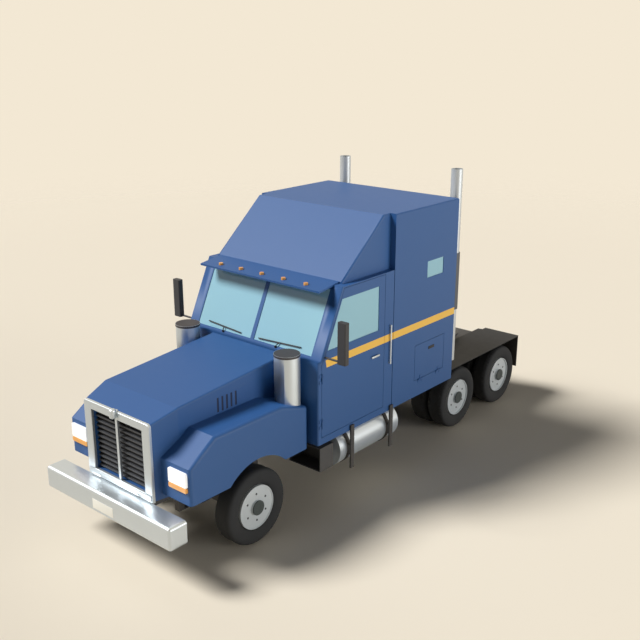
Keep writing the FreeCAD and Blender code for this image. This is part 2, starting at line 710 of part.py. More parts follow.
def cab_steps():
    """A box under each door, open ahead, on an arm from the frame rail."""
    skin = dim.step_skin
    low = (dim.step_inner, dim.step_front, dim.step_bottom)
    high = (dim.step_outer, dim.step_rear, dim.step_top)
    room = block((dim.step_inner + skin, dim.step_front, dim.step_bottom + skin),
                 (dim.step_outer - skin, dim.step_rear - skin, dim.step_top - skin))
    middle = (dim.step_front + dim.step_rear) / 2
    arm = block((rail_half, middle, rail_bottom + 4 * skin),
                (dim.step_inner, dim.step_rear - 4 * skin, rail_bottom + 9 * skin))
    node("cab_steps", both_sides(fused(cut(block(low, high), room), arm)))


# ---------------------------------------------------------------- cab and sleeper
def cab_outline(inset, rear):
    """Side view of the cab, drawn in from its outer faces by an inset."""
    front = dim.cab_front + inset
    slope_inset = inset * pillar_stretch
    return [(front, dim.cab_floor + inset), (front, dim.cowl_height - inset),
            (screen_foot + slope_inset, screen_foot_height - inset),
            (roof_front + slope_inset - inset * pillar_slope, dim.cab_roof - inset),
            (rear, dim.cab_roof - inset), (rear, dim.cab_floor + inset)]


def pillar_line(height):
    """Station of the windscreen plane at a height."""
    return screen_foot + (height - screen_foot_height) * pillar_slope


def door_outline(gap):
    """Side view of the door, enlarged by the gap round it."""
    sill = dim.door_bottom - gap
    front = dim.door_front - gap
    top = door_top + gap
    return [(front, sill), (dim.door_rear + gap, sill), (dim.door_rear + gap, top),
            (pillar_line(top) + dim.pillar_width - gap, top),
            (pillar_line(screen_foot_height) + dim.pillar_width - gap, screen_foot_height),
            (front, dim.cowl_height - 40)]


def window_outline():
    """Side view of the door window; its front edge follows the windscreen pillar."""
    front = dim.pillar_width + dim.window_margin
    return [(pillar_line(window_bottom) + front, window_bottom),
            (dim.window_rear, window_bottom), (dim.window_rear, window_top),
            (pillar_line(window_top) + front, window_top)]


def port_outline():
    """Side view of the sleeper window."""
    return [(dim.port_front, dim.port_bottom), (dim.port_rear, dim.port_bottom),
            (dim.port_rear, dim.port_top), (dim.port_front, dim.port_top)]


def locker_outline(gap):
    """Side view of the luggage door, enlarged by the gap round it."""
    return [(dim.locker_front - gap, dim.locker_bottom - gap),
            (dim.locker_rear + gap, dim.locker_bottom - gap),
            (dim.locker_rear + gap, dim.locker_top + gap),
            (dim.locker_front - gap, dim.locker_top + gap)]


def screen_opening():
    """The hole of the left windscreen pane, level through the sloping front."""
    return block((dim.screen_bar / 2, dim.cab_front, screen_base),
                 (dim.screen_half, roof_front + 2 * dim.wall, screen_head))


def cab_shell():
    """Hollow cab, open to the sleeper, with holes for its doors and windscreen."""
    outer = side_profile(cab_outline(0, dim.cab_rear), -cab_half, cab_half)

    def front_corner(start, end):
        along = abs(start.x - end.x) < 1 and near(abs(start.x), cab_half)
        return (along and max(start.y, end.y) < roof_front.number + 1
                and max(start.z, end.z) > dim.cab_floor.number + 1)

    rounded(outer, dim.cab_round, front_corner)
    inner = side_profile(cab_outline(dim.wall, dim.cab_rear), -cab_half + dim.wall, cab_half - dim.wall)
    doorway = side_profile(door_outline(dim.door_gap), cab_half - dim.wall - dim.door_gap, cab_half)
    shell = cut(outer, inner, both_sides(doorway), both_sides(screen_opening()))
    node("cab_shell", fused(shell, fixed_halves(door_hinges())))


def cab_glass():
    """Two windscreen panes and a window on each side of the sleeper."""
    behind = dim.glass_inset
    front = behind + dim.glass_skin
    low, high = screen_base, screen_head
    pane = side_profile([(pillar_line(low) + behind, low), (pillar_line(low) + front, low),
                         (pillar_line(high) + front, high), (pillar_line(high) + behind, high)],
                        dim.screen_bar / 2, dim.screen_half)
    port = side_profile(port_outline(), cab_half - front, cab_half - behind)
    node("cab_glass", both_sides(together(pane, port)))


def tilted_to_driver(piece):
    """Place a piece that was made upright about the origin on the steering column's axis."""
    piece.Placement.Rotation = Rotation(Vector(1, 0, 0), -float(dim.column_tilt))
    place(piece, dim.driver_place, dim.column_station, wheel_height)


def cab_interior():
    """Dashboard with its steering column, two seats and the bunk."""
    inside = cab_half - dim.wall
    back = dim.cab_front + dim.wall
    top = dim.cowl_height - dim.wall
    deep, tall = dim.dash_deep, dim.dash_tall
    dash = side_profile([(back, top - tall), (back + deep * 0.55, top - tall),
                         (back + deep, top - tall / 2),
                         (back + deep, top - tall / 7), (back + deep * 0.62, top), (back, top)],
                        -inside, inside)
    seats = []
    level, end, back_thick = dim.seat_level, dim.seat_front + dim.seat_long, dim.seat_thick * 0.7
    for side in (-dim.driver_place, dim.driver_place):
        low, high = side - dim.seat_half, side + dim.seat_half
        foot = block((low + dim.seat_thick, dim.seat_front + dim.seat_thick, dim.cab_floor + dim.wall),
                     (high - dim.seat_thick, end - dim.seat_thick, level))
        cushion = block((low, dim.seat_front, level), (high, end, level + dim.seat_thick))
        rest = side_profile([(end - back_thick, level + dim.seat_thick), (end, level + dim.seat_thick),
                             (end + dim.seat_lean, level + dim.seat_tall),
                             (end + dim.seat_lean - back_thick, level + dim.seat_tall)], low, high)
        seats.append(fused(foot, cushion, rest))
    bunk = block((-inside, dim.bunk_front, dim.bunk_top - dim.bunk_thick),
                 (inside, dim.sleeper_rear - dim.wall, dim.bunk_top))
    column = rod((0, 0, -dim.column_length), "Z", dim.column_radius, dim.column_length - 2 * column_gap)
    shaft = rod((0, 0, -2 * column_gap), "Z", dim.column_shaft, 2 * column_gap)
    post = fused(column, shaft)
    tilted_to_driver(post)
    node("cab_interior", together(fused(dash, post), *seats, bunk))


def sleeper_shell():
    """Hollow sleeper behind the cab, with its windows and luggage doorways."""
    sides = [(sleeper_front, dim.cab_floor), (dim.sleeper_rear, dim.cab_floor),
             (dim.sleeper_rear, dim.sleeper_roof), (sleeper_front, dim.sleeper_roof)]
    outer = side_profile(sides, -cab_half, cab_half)

    def upper_edge(start, end):
        return (near(start.z, dim.sleeper_roof) and near(end.z, dim.sleeper_roof)
                and not (near(start.y, sleeper_front) and near(end.y, sleeper_front)))

    rounded(outer, dim.roof_round, upper_edge)
    inside = cab_half - dim.wall
    room = block((-inside, sleeper_front + dim.wall, dim.cab_floor + dim.wall),
                 (inside, dim.sleeper_rear - dim.wall, dim.sleeper_roof - dim.wall))
    passage = block((-inside, sleeper_front - dim.joint_gap, dim.cab_floor + dim.wall),
                    (inside, sleeper_front + dim.wall, dim.cab_roof - dim.wall))
    seal = block((-cab_half + dim.joint_inset, dim.cab_rear, dim.cab_floor + dim.joint_inset),
                 (cab_half - dim.joint_inset, sleeper_front, dim.cab_roof - dim.joint_inset))
    ports = side_profile(port_outline(), -cab_half, cab_half)
    lockers = side_profile(locker_outline(dim.door_gap), -cab_half, cab_half)
    shell = cut(fused(outer, seal), room, passage, ports, lockers)
    node("sleeper_shell", fused(shell, fixed_halves(locker_hinges())))


def roof_fairing():
    """Hollow wedge from the visor up to the sleeper's roof, open below."""
    half = dim.fairing_width / 2
    foot = dim.cab_roof + dim.visor_skin
    skin = dim.fairing_skin
    outer = side_profile([(dim.fairing_foot, dim.cab_roof), (sleeper_front, dim.cab_roof),
                          (sleeper_front, dim.sleeper_roof), (dim.fairing_brow, dim.sleeper_roof),
                          (dim.fairing_foot, foot)], -half, half)

    def upper_edge(start, end):
        beside = near(abs(start.x), half) and abs(start.x - end.x) < 1
        return beside and abs(start.y - end.y) > 1 and near(max(start.z, end.z), dim.sleeper_roof)

    rounded(outer, dim.fairing_round, upper_edge)
    inner = side_profile([(dim.fairing_foot + 2 * skin, dim.cab_roof),
                          (sleeper_front - skin, dim.cab_roof),
                          (sleeper_front - skin, dim.sleeper_roof - skin),
                          (dim.fairing_brow + skin / 2, dim.sleeper_roof - skin),
                          (dim.fairing_foot + 2 * skin, foot + skin / 2)], -half + skin, half - skin)
    node("roof_fairing", cut(outer, inner))


visor_ridge = dim.cab_roof + dim.visor_skin / 2


def visor_slab():
    """Slab over the windscreen, resting on the front edge of the roof."""
    half = dim.visor_width / 2
    level = dim.cab_roof - dim.wall / 4
    return side_profile([(dim.visor_front, dim.visor_front_top - dim.visor_skin),
                         (dim.visor_front, dim.visor_front_top), (roof_front, visor_ridge),
                         (dim.fairing_foot, dim.cab_roof + dim.visor_skin),
                         (dim.fairing_foot, dim.cab_roof), (roof_front, dim.cab_roof),
                         (pillar_line(level), level)], -half, half)


def sun_visor():
    """The visor by itself."""
    node("sun_visor", visor_slab())


def marker_lamps():
    """Five lamps along the visor and a tail lamp on the end of each rail."""
    lamps = []
    station = dim.visor_front + 100
    rise = (visor_ridge - dim.visor_front_top) / (roof_front - dim.visor_front)
    height = dim.visor_front_top + 100 * rise
    for number in (-2, -1, 0, 1, 2):
        lamps.append(rod((number * dim.marker_pitch, station, height - 8), "Z", dim.marker_radius, 36))
    tail = block((rail_half - dim.rail_flange, dim.rail_rear, 800), (rail_half, dim.rail_rear + 30, 900))
    node("marker_lamps", together(cut(together(*lamps), visor_slab()), both_sides(tail)))


hinge_line = cab_half + dim.hinge_radius + 1


def hinge(axis, across, start):
    """Fixed and moving half of one hinge on the left side; across is its line's y or z."""
    def spot(side, away, along):
        return (side, away, along) if axis == "Z" else (side, along, away)

    third = dim.hinge_length / 3
    fixed = []
    for low in (start, start + 2 * third):
        fixed.append(rod(spot(hinge_line, across, low), axis, dim.hinge_radius, third))
        fixed.append(block(spot(cab_half, across - dim.hinge_leaf, low),
                           spot(cab_half + dim.hinge_skin, across, low + third)))
    fixed.append(rod(spot(hinge_line, across, start), axis, dim.hinge_pin, dim.hinge_length))
    low, high = start + third + dim.hinge_play, start + 2 * third - dim.hinge_play
    barrel_piece = rod(spot(hinge_line, across, low), axis, dim.hinge_radius, high - low)
    leaf = block(spot(cab_half, across, low), spot(cab_half + dim.hinge_skin, across + dim.hinge_leaf, high))
    bore = rod(spot(hinge_line, across, low), axis, dim.hinge_pin + dim.running_fit, high - low)
    return fixed, [leaf, barrel_piece], bore


door_hinge_line = dim.door_front - dim.door_gap / 2
locker_hinge_line = dim.locker_bottom - dim.door_gap / 2
DOOR_HINGE_SHARES = (0.12, 0.72)
LOCKER_HINGE_SHARES = (0.12, 0.74)


def door_hinges():
    """The two hinges of the left door, below its window."""
    tall = dim.cowl_height - dim.door_bottom
    return [hinge("Z", door_hinge_line, dim.door_bottom + tall * share) for share in DOOR_HINGE_SHARES]


def locker_hinges():
    """The two hinges along the lower edge of the left luggage door."""
    wide = dim.locker_rear - dim.locker_front
    return [hinge("Y", locker_hinge_line, dim.locker_front + wide * share) for share in LOCKER_HINGE_SHARES]


def fixed_halves(hinges):
    """The halves that stay on the shell, on both sides of the truck."""
    return both_sides(fused(*[piece for fixed, moving, bore in hinges for piece in fixed]))


def on_hinges(panel, hinges):
    """A panel with the moving halves of its hinges."""
    pieces = [piece for fixed, moving, bore in hinges for piece in moving]
    return cut(fused(panel, *pieces), *[bore for fixed, moving, bore in hinges])


def doors():
    """A door on each side, as thick as the wall, with its window cut out."""
    frame = side_profile(door_outline(0), cab_half - dim.wall, cab_half, window_outline())
    left_and_right("door", on_hinges(frame, door_hinges()))
    behind = dim.glass_inset
    pane = side_profile(window_outline(), cab_half - behind - dim.glass_skin, cab_half - behind)
    left_and_right("door_glass", pane)


def mirrors():
    """A tall head on an arm that stands out from the door's front corner."""
    half, deep = dim.mirror_width / 2, dim.mirror_thick / 2
    head = plan_profile([(dim.mirror_place - half, dim.mirror_station - deep),
                         (dim.mirror_place + half, dim.mirror_station - deep),
                         (dim.mirror_place + half, dim.mirror_station + deep),
                         (dim.mirror_place - half, dim.mirror_station + deep)],
                        dim.mirror_bottom, dim.mirror_top)
    rounded(head, dim.mirror_round, lambda start, end: near(start.x, end.x) and near(start.y, end.y))
    arm = rod((cab_half, dim.mirror_station + dim.arm_back, dim.mirror_bottom + dim.arm_rise), "X",
              dim.arm_radius, dim.mirror_place - cab_half)
    left_and_right("mirror", fused(head, arm))


def luggage_doors():
    """A door on each side of the sleeper, hinged along its lower edge."""
    panel = side_profile(locker_outline(0), cab_half - dim.wall, cab_half)
    left_and_right("luggage_door", on_hinges(panel, locker_hinges()))


# ---------------------------------------------------------------- hood with fenders
# station, half width, top
HOOD_SECTIONS = (
    (grille_back, dim.grille_width / 2, dim.grille_top),
    (dim.hood_bend, hood_half, dim.hood_bend_top),
    (hood_rear, hood_half, dim.cowl_height),
)


def hood_loft(name, inset, bottom, beyond):
    """Solid over the hood's sections, drawn in by an inset and run past both ends."""
    wires = []
    last = len(HOOD_SECTIONS) - 1
    for number, (station, half, top) in enumerate(HOOD_SECTIONS):
        along = float(station)
        if number == 0:
            along -= beyond
        if number == last:
            along += beyond
        side, height = float(half) - inset, float(top) - inset
        bend = float(dim.hood_round)
        drop = bend * 0.2929
        low_left, high_left = Vector(-side, along, bottom), Vector(-side, along, height - bend)
        top_left, top_right = Vector(-side + bend, along, height), Vector(side - bend, along, height)
        high_right, low_right = Vector(side, along, height - bend), Vector(side, along, bottom)
        left_bend = Part.Arc(high_left, Vector(-side + drop, along, height - drop), top_left)
        right_bend = Part.Arc(top_right, Vector(side - drop, along, height - drop), high_right)
        wires.append(Part.Wire([
            Part.LineSegment(low_left, high_left).toShape(), left_bend.toShape(),
            Part.LineSegment(top_left, top_right).toShape(), right_bend.toShape(),
            Part.LineSegment(high_right, low_right).toShape(),
            Part.LineSegment(low_right, low_left).toShape()]))
    loft = doc.addObject("Part::Feature", name)
    loft.Shape = Part.makeLoft(wires, True, True)
    return loft


def hood_shell():
    """Hollow hood with a front wall round the grille, and with louvres on its sides."""
    outer = hood_loft("HoodOuter", 0.0, float(dim.apron_bottom), 0.0)
    inner = hood_loft("HoodInner", float(dim.hood_skin), float(dim.apron_bottom) - 10, 20.0)
    below = block((-hood_half, dim.apron_rear, dim.apron_bottom), (hood_half, hood_rear, dim.hood_bottom))
    half, opening = dim.grille_width / 2 - dim.hood_skin / 2, dim.grille_open / 2
    top = dim.grille_top - dim.hood_skin / 2
    wall = front_profile([(-half, dim.grille_sill - dim.hood_skin), (half, dim.grille_sill - dim.hood_skin),
                          (half, top - dim.hood_round), (half - dim.hood_round, top),
                          (-half + dim.hood_round, top), (-half, top - dim.hood_round)],
                         grille_back, grille_back + dim.grille_wall, grille_hole(opening))
    slots = []
    for number in range(5):
        front = dim.louvre_start + number * dim.louvre_pitch
        slots.append(block((hood_half - dim.hood_skin / 2, front, dim.louvre_top - dim.louvre_tall),
                           (hood_half + 20, front + dim.louvre_slot, dim.louvre_top)))
    node("hood_shell", fused(cut(outer, inner, below, both_sides(together(*slots))), wall))


def grille_hole(half):
    """The grille's opening as a hole in a front view outline."""
    return [(-half, dim.grille_sill), (half, dim.grille_sill),
            (half, dim.grille_head), (-half, dim.grille_head)]


def fender_outline(inset, bottom):
    """Side view of a fender, drawn in from its outer faces by an inset."""
    return [(dim.fender_front + inset, bottom),
            (dim.fender_front + inset, dim.fender_brow - inset * 0.53),
            (dim.fender_knee + inset * 0.3, dim.fender_top - inset),
            (dim.fender_bend - inset * 0.15, dim.fender_top - inset),
            (dim.fender_rear - inset, dim.fender_shelf - inset * 0.74), (dim.fender_rear - inset, bottom)]


fender_within = hood_half - 150


def lamp_body(low, high):
    """A lamp of the left side with rounded corners, through the fender's front wall."""
    front = dim.fender_front - dim.lamp_proud
    body = front_profile([(dim.lamp_inner, low), (dim.lamp_outer, low), (dim.lamp_outer, high),
                          (dim.lamp_inner, high)], front, dim.fender_front + dim.hood_skin)
    rounded(body, dim.lamp_round, lambda start, end: near(start.x, end.x) and near(start.z, end.z))
    return rounded(body, dim.lamp_round / 3, lambda start, end: near(start.y, front) and near(end.y, front))


def headlamp():
    """The left headlamp."""
    return lamp_body(dim.lamp_bottom, dim.lamp_top)


def turn_lamp():
    """The left turn lamp."""
    return lamp_body(dim.lamp_bottom - dim.turn_height, dim.lamp_bottom)


def fender_volume():
    """The left fender as a solid, rounded along its outer edges and over its rear corner."""
    outside = dim.fender_width / 2
    volume = side_profile(fender_outline(0, dim.fender_bottom), fender_within, outside)

    def chosen(start, end):
        level = near(start.z, dim.fender_bottom) and near(end.z, dim.fender_bottom)
        corner = near(start.z, dim.fender_shelf) and near(end.z, dim.fender_shelf)
        return corner or near(start.x, outside) and near(end.x, outside) and not level

    return rounded(volume, dim.fender_round, chosen)


def fenders():
    """Front fenders: skins over the wheels that meet the hood's sides."""
    hollow = side_profile(fender_outline(dim.hood_skin, dim.fender_bottom - 10), fender_within - 10,
                          dim.fender_width / 2 - dim.hood_skin)
    arch = rod((fender_within, 0, dim.tyre_radius), "X", dim.arch_radius, dim.fender_width / 2)
    hood = hood_loft("HoodVolume", 0.0, float(dim.apron_bottom) - 60, 0.0)
    node("fenders", both_sides(cut(fender_volume(), hollow, arch, hood, headlamp(), turn_lamp())))


def grille_surround():
    """Bright frame round the grille with a middle bar, a cap on top and the hood's hinge ears."""
    half, opening = dim.grille_width / 2, dim.grille_open / 2
    lean = dim.hood_round
    frame = front_profile(
        [(-half, dim.grille_foot), (half, dim.grille_foot), (half, dim.grille_top - lean),
         (half - lean, dim.grille_top), (-half + lean, dim.grille_top), (-half, dim.grille_top - lean)],
        dim.grille_front, grille_back, grille_hole(opening))
    rounded(frame, dim.grille_round,
            lambda start, end: near(start.y, dim.grille_front) and near(end.y, dim.grille_front))
    bar = block((-dim.grille_bar / 2, dim.grille_front + dim.grille_round, dim.grille_sill),
                (dim.grille_bar / 2, grille_back, dim.grille_head))
    boss = dim.grille_depth * 0.7
    cap = rod((0, dim.grille_front + dim.grille_depth / 2, dim.grille_top - 2 * boss), "Z", boss,
              2 * boss + dim.grille_round)
    inside = rail_half - dim.rail_flange
    ear = block((inside + 34, dim.hood_pivot - 25, dim.grille_foot),
                (inside + 66, dim.hood_pivot + 25, dim.grille_sill - dim.hood_skin))
    bore = rod((inside + 20, dim.hood_pivot, dim.hood_pivot_height), "X",
               dim.hood_pin + dim.running_fit, 66)
    notch = block((inside + 11, dim.grille_front, dim.grille_foot),
                  (inside + 29, grille_back, dim.hood_pivot_height + 30))
    behind = block((-dim.grille_depth, grille_back, dim.grille_sill),
                   (dim.grille_depth, grille_back + dim.grille_depth, dim.grille_top + dim.grille_depth))
    node("grille_surround", cut(fused(frame, bar, cap, both_sides(ear)), both_sides(bore),
                                both_sides(notch), behind))


SLAT_COUNT = 12


def grille_slats():
    """Level slats from side to side of the hood's front wall, behind the surround's middle bar."""
    half = dim.grille_open / 2
    pitch = (dim.grille_head - dim.grille_sill) / SLAT_COUNT
    front = dim.grille_front + dim.slat_inset
    slats = []
    for number in range(SLAT_COUNT):
        level = dim.grille_sill + pitch * (number + 0.5)
        slats.append(block((-half, front, level - dim.slat_thick / 2),
                           (half, front + dim.slat_depth, level + dim.slat_thick / 2)))
    node("grille_slats", together(*slats))


def front_lamps():
    """Headlamps, with the turn lamps directly below them."""
    node("headlamps", both_sides(headlamp()))
    node("turn_lamps", both_sides(turn_lamp()))


def air_cleaners():
    """Upright drums on the sloping rear of the fenders."""
    drum = rod((dim.cleaner_place, dim.cleaner_station, dim.fender_shelf), "Z", dim.cleaner_radius,
               dim.cleaner_top - dim.fender_shelf)
    cap = rod((dim.cleaner_place, dim.cleaner_station, dim.cleaner_top), "Z",
              dim.cleaner_radius + dim.cap_overhang, dim.cleaner_cap)
    node("air_cleaners", both_sides(cut(fused(drum, cap), fender_volume())))


# ---------------------------------------------------------------- behind the cab
def exhaust_stacks():
    """Upright pipes behind the sleeper, held to its rear wall and footed on the rails."""
    where = (dim.stack_place, dim.stack_station)
    pipe = rod((*where, dim.stack_bottom), "Z", dim.stack_radius, dim.stack_top - dim.stack_bottom)
    mouth = rod((*where, dim.stack_top - 400), "Z", dim.stack_radius - dim.stack_skin, 400)
    clamps = [block((dim.stack_place - 22, dim.sleeper_rear, level),
                    (dim.stack_place + 22, dim.stack_station - dim.stack_radius + 30, level + 40))
              for level in (dim.shield_bottom - 240, dim.shield_top + 300)]
    elbow_level = dim.stack_bottom + 60
    inner = dim.deck_inner - 60
    elbow = rod((inner, dim.stack_station, elbow_level), "X", 56, dim.stack_place - inner)
    drop = rod((inner, dim.stack_station, dim.rail_top + dim.bed_skin), "Z", 38,
               elbow_level - dim.rail_top - dim.bed_skin)
    node("exhaust_stacks", both_sides(cut(fused(pipe, elbow, drop, *clamps), mouth)))


def heat_shields():
    """Dark sleeves round the middle of the stacks."""
    where = (dim.stack_place, dim.stack_station, dim.shield_bottom)
    length = dim.shield_top - dim.shield_bottom
    node("heat_shields", both_sides(cut(rod(where, "Z", dim.stack_radius + dim.shield_skin, length),
                                        rod(where, "Z", dim.stack_radius, length))))


DECK_ARM_STATIONS = (4290, 5286, 6390)


def rear_fenders():
    """Flat plates over the drive wheels, on arms from the rails."""
    plate = block((dim.deck_inner, dim.deck_front, deck_bottom),
                  (dim.deck_outer, dim.deck_rear, dim.deck_top))
    arms = []
    for station in DECK_ARM_STATIONS:
        arms.append(block((rail_half, station, deck_bottom - 40),
                          (dim.deck_outer - 60, station + 60, deck_bottom)))
        arms.append(block((rail_half, station, dim.rail_top - 120),
                          (rail_half + 30, station + 60, deck_bottom)))
    notch = block((dim.deck_inner, dim.notch_front, deck_bottom),
                  (dim.notch_inner, dim.deck_rear, dim.deck_top))
    catwalk = block((-rail_half, dim.catwalk_front, dim.rail_top),
                    (rail_half, dim.catwalk_rear, dim.rail_top + dim.bed_skin))
    node("rear_fenders", both_sides(cut(fused(plate, *arms), notch)), catwalk)


def mud_flaps():
    """Sheets that hang from the rear edge of the fender plates."""
    node("mud_flaps", both_sides(block((dim.notch_inner + dim.flap_skin, dim.flap_station, dim.flap_bottom),
                                       (dim.deck_outer, dim.flap_station + dim.flap_skin, deck_bottom))))


coupling = dim.drive_axle + dim.tandem_spacing / 2 + dim.plate_shift
trunnion_height = dim.plate_top - dim.plate_skin - 59


def fifth_wheel():
    """Base brackets on the rails and the tilting coupling plate on their pins."""
    foot = block((rail_half - 100, coupling - 300, dim.rail_top),
                 (rail_half, coupling + 300, dim.rail_top + 20))
    stand = side_profile([(coupling - 240, dim.rail_top + 20), (coupling + 240, dim.rail_top + 20),
                          (coupling + 36, trunnion_height + 40), (coupling - 36, trunnion_height + 40)],
                         rail_half - 90, rail_half - 30)
    pin = rod((rail_half - 150, coupling, trunnion_height), "X", dim.trunnion_radius, 120)
    bed = block((-rail_half, dim.bed_front, dim.rail_top),
                (rail_half, dim.bed_rear, dim.rail_top + dim.bed_skin))
    node("fifth_wheel_base", fused(bed, both_sides(fused(foot, stand, pin))))

    low = dim.plate_top - dim.plate_skin
    disc = rod((0, coupling, low), "Z", dim.plate_radius, dim.plate_skin)
    throat = plan_profile([(-34, coupling + 92), (34, coupling + 92), (240, coupling + 500),
                           (-240, coupling + 500)], low - 5, dim.plate_top + 5)
    hole = rod((0, coupling, low - 5), "Z", dim.kingpin_bore, dim.plate_skin + 10)
    lug = block((rail_half - 145, coupling - 60, trunnion_height - 48),
                (rail_half - 100, coupling + 60, low))
    bore = rod((rail_half - 160, coupling, trunnion_height), "X",
               dim.trunnion_radius + dim.running_fit, 80)
    node("fifth_wheel_plate", cut(fused(disc, both_sides(lug)), throat, hole, both_sides(bore)))


# ---------------------------------------------------------------- steering and wheels
def knuckles():
    """Forks round the axle beam's ends, each with a wheel spindle and a steering arm."""
    place_x, middle = dim.kingpin_place, dim.tyre_radius
    half = 50
    upper = block((place_x - half, -half, middle + 53), (place_x + 105, half, middle + 83))
    lower = block((place_x - half, -half, middle - 83), (place_x + 105, half, middle - 53))
    web = block((place_x + 82, -60, middle - 83), (place_x + 105, 60, middle + 83))
    spindle = rod((place_x + 90, 0, middle), "X", dim.spindle_radius,
                  dim.front_face - dim.front_dish - dim.rim_skin - place_x - 90)
    arm = block((place_x - 22, 0, middle - 77), (place_x + 22, dim.steer_arm + 20, middle - 53))
    stud = rod((place_x, dim.steer_arm, middle - 116), "Z", 12, 44)
    bore = rod((place_x, 0, middle - 90), "Z", dim.kingpin_radius + dim.running_fit, 180)
    left_and_right("knuckle", cut(fused(upper, lower, web, spindle, arm, stud), bore))


def tie_rod():
    """Rod between the steering arms; its right eye has room to float."""
    level = dim.tyre_radius - 112
    bar = rod((-dim.kingpin_place + 20, dim.steer_arm, level + 14), "X", 11, 2 * dim.kingpin_place - 40)
    eyes = [rod((side * dim.kingpin_place, dim.steer_arm, level), "Z", 28, 28) for side in (-1, 1)]
    holes = [rod((side * dim.kingpin_place, dim.steer_arm, level - 2), "Z", hole, 32)
             for side, hole in ((1, 12 + dim.running_fit), (-1, 14))]
    node("tie_rod", cut(fused(bar, *eyes), *holes))


TYRE_SIDES = 48


def tyre(middle):
    """A tyre about the X axis, its middle plane at x = middle, as a loft of many-sided sections."""
    half = dim.tyre_width / 2
    sections = []
    for across, radius in ((-half, dim.tyre_radius - dim.tyre_shoulder),
                           (-half + dim.tyre_shoulder, dim.tyre_radius),
                           (half - dim.tyre_shoulder, dim.tyre_radius),
                           (half, dim.tyre_radius - dim.tyre_shoulder)):
        section = doc.addObject("Part::RegularPolygon", "Section")
        section.Polygon = TYRE_SIDES
        section.Placement.Rotation = Rotation(Vector(0, 1, 0), 90)
        bind(section, Circumradius=radius)
        sections.append(place(section, middle + across, 0, 0))
    outside = doc.addObject("Part::Loft", "Loft")
    outside.Sections = sections
    outside.Solid = outside.Ruled = True
    bore = doc.addObject("Part::Prism", "Bore")
    bore.Polygon = TYRE_SIDES
    bore.Placement.Rotation = Rotation(Vector(0, 1, 0), 90)
    bind(bore, Circumradius=dim.rim_radius * (1 / math.cos(math.pi / TYRE_SIDES)), Height=dim.tyre_width)
    place(bore, middle - half, 0, 0)
    return cut(outside, bore)


def barrel(middle):
    """The rim's ring under a tyre."""
    half = dim.tyre_width / 2 - dim.rim_skin
    return cut(rod((middle - half, 0, 0), "X", dim.rim_radius, 2 * half),
               rod((middle - half, 0, 0), "X", dim.rim_radius - dim.rim_skin, 2 * half))


RECESSES = 6


def disc(face):
    """A wheel disc whose outer face is at x = face, with a ring of shallow round recesses."""
    plate = rod((face - dim.rim_skin, 0, 0), "X", dim.rim_radius - dim.rim_skin / 2, dim.rim_skin)
    holes = []
    for number in range(RECESSES):
        turn = Rotation(Vector(1, 0, 0), 360 / RECESSES * number)
        spot = turn.multVec(Vector(0, 0, 1))
        holes.append(rod((face - dim.rim_skin / 2, dim.stud_ring * spot.y, dim.stud_ring * spot.z), "X",
                         dim.hand_hole, dim.rim_skin))
    return cut(plate, *holes)


def wheel(name, station, face, dish, hub_start, middles, side):
    """Tyres and rim of one wheel, or of one pair, at a station along the truck."""
    tyres = together(*[tyre(middle) for middle in middles])
    outer = face - dish
    hub = rod((hub_start, 0, 0), "X", dim.hub_radius, outer + 34 - hub_start)
    bore = rod((hub_start - 5, 0, 0), "X", dim.spindle_radius + dim.running_fit,
               outer - dim.rim_skin - hub_start + 7)
    discs = [disc(outer)]
    if len(middles) == 2:
        discs.append(disc(middles[1] + dim.tyre_width / 2 - 60))
    rim = cut(fused(*[barrel(middle) for middle in middles], *discs, hub), bore)
    for kind, piece in (("tyre", tyres), ("rim", rim)):
        piece = together(piece)
        place(piece, 0, station, dim.tyre_radius)
        if side == "right":
            piece = mirrored(piece)
        node(f"{name}_{kind}_{side}", piece)


def wheels():
    """Single wheels at the front, pairs on both drive axles."""
    front_middle = dim.front_face - dim.tyre_width / 2
    outer_middle = dim.rear_face - dim.tyre_width / 2
    inner_middle = outer_middle - dim.tyre_width - dim.dual_gap
    inner_side = dim.rear_face - 2 * dim.tyre_width - dim.dual_gap + 40
    for side in ("left", "right"):
        wheel("front", 0, dim.front_face, dim.front_dish, dim.kingpin_place + 112, [front_middle], side)
        for name, station in (("drive", dim.drive_axle), ("rear", second_drive_axle)):
            wheel(name, station, dim.rear_face, dim.rear_dish, inner_side,
                  [outer_middle, inner_middle], side)


def steering_wheel():
    """Ring, hub and three spokes on a sloping column from the dashboard."""
    grip = dim.wheel_grip
    ring = cut(rod((0, 0, -grip / 2), "Z", dim.wheel_rim + grip / 2, grip),
               rod((0, 0, -grip / 2), "Z", dim.wheel_rim - grip / 2, grip))
    spokes = []
    for number in range(3):
        spoke = rod((0, 0, 0), "X", grip / 3, dim.wheel_rim)
        spoke.Placement.Rotation = Rotation(Vector(0, 0, 1), 120 * number - 90).multiply(
            Rotation(Vector(0, 1, 0), 90))
        spokes.append(spoke)
    hub = rod((0, 0, dim.hinge_play - 2 * column_gap), "Z", dim.column_radius + grip / 4,
              2 * column_gap + grip / 2)
    bore = rod((0, 0, -2 * column_gap), "Z", dim.column_shaft + dim.running_fit,
               2 * column_gap + dim.hinge_play)
    whole = cut(fused(ring, hub, *spokes), bore)
    tilted_to_driver(whole)
    node("steering_wheel", whole)


for make in (frame_rails, crossmembers, bumper, front_axle, front_springs, drive_axles,
             suspension_arms, engine_block, driveline, radiator, fuel_tanks, tank_straps, cab_steps,
             cab_shell, cab_glass, cab_interior, sleeper_shell, roof_fairing, sun_visor,
             marker_lamps, doors, mirrors, luggage_doors, hood_shell, fenders, grille_surround,
             grille_slats, front_lamps, air_cleaners, exhaust_stacks, heat_shields, rear_fenders,
             mud_flaps, fifth_wheel, knuckles, tie_rod, wheels, steering_wheel):
    make()
doc.recompute()

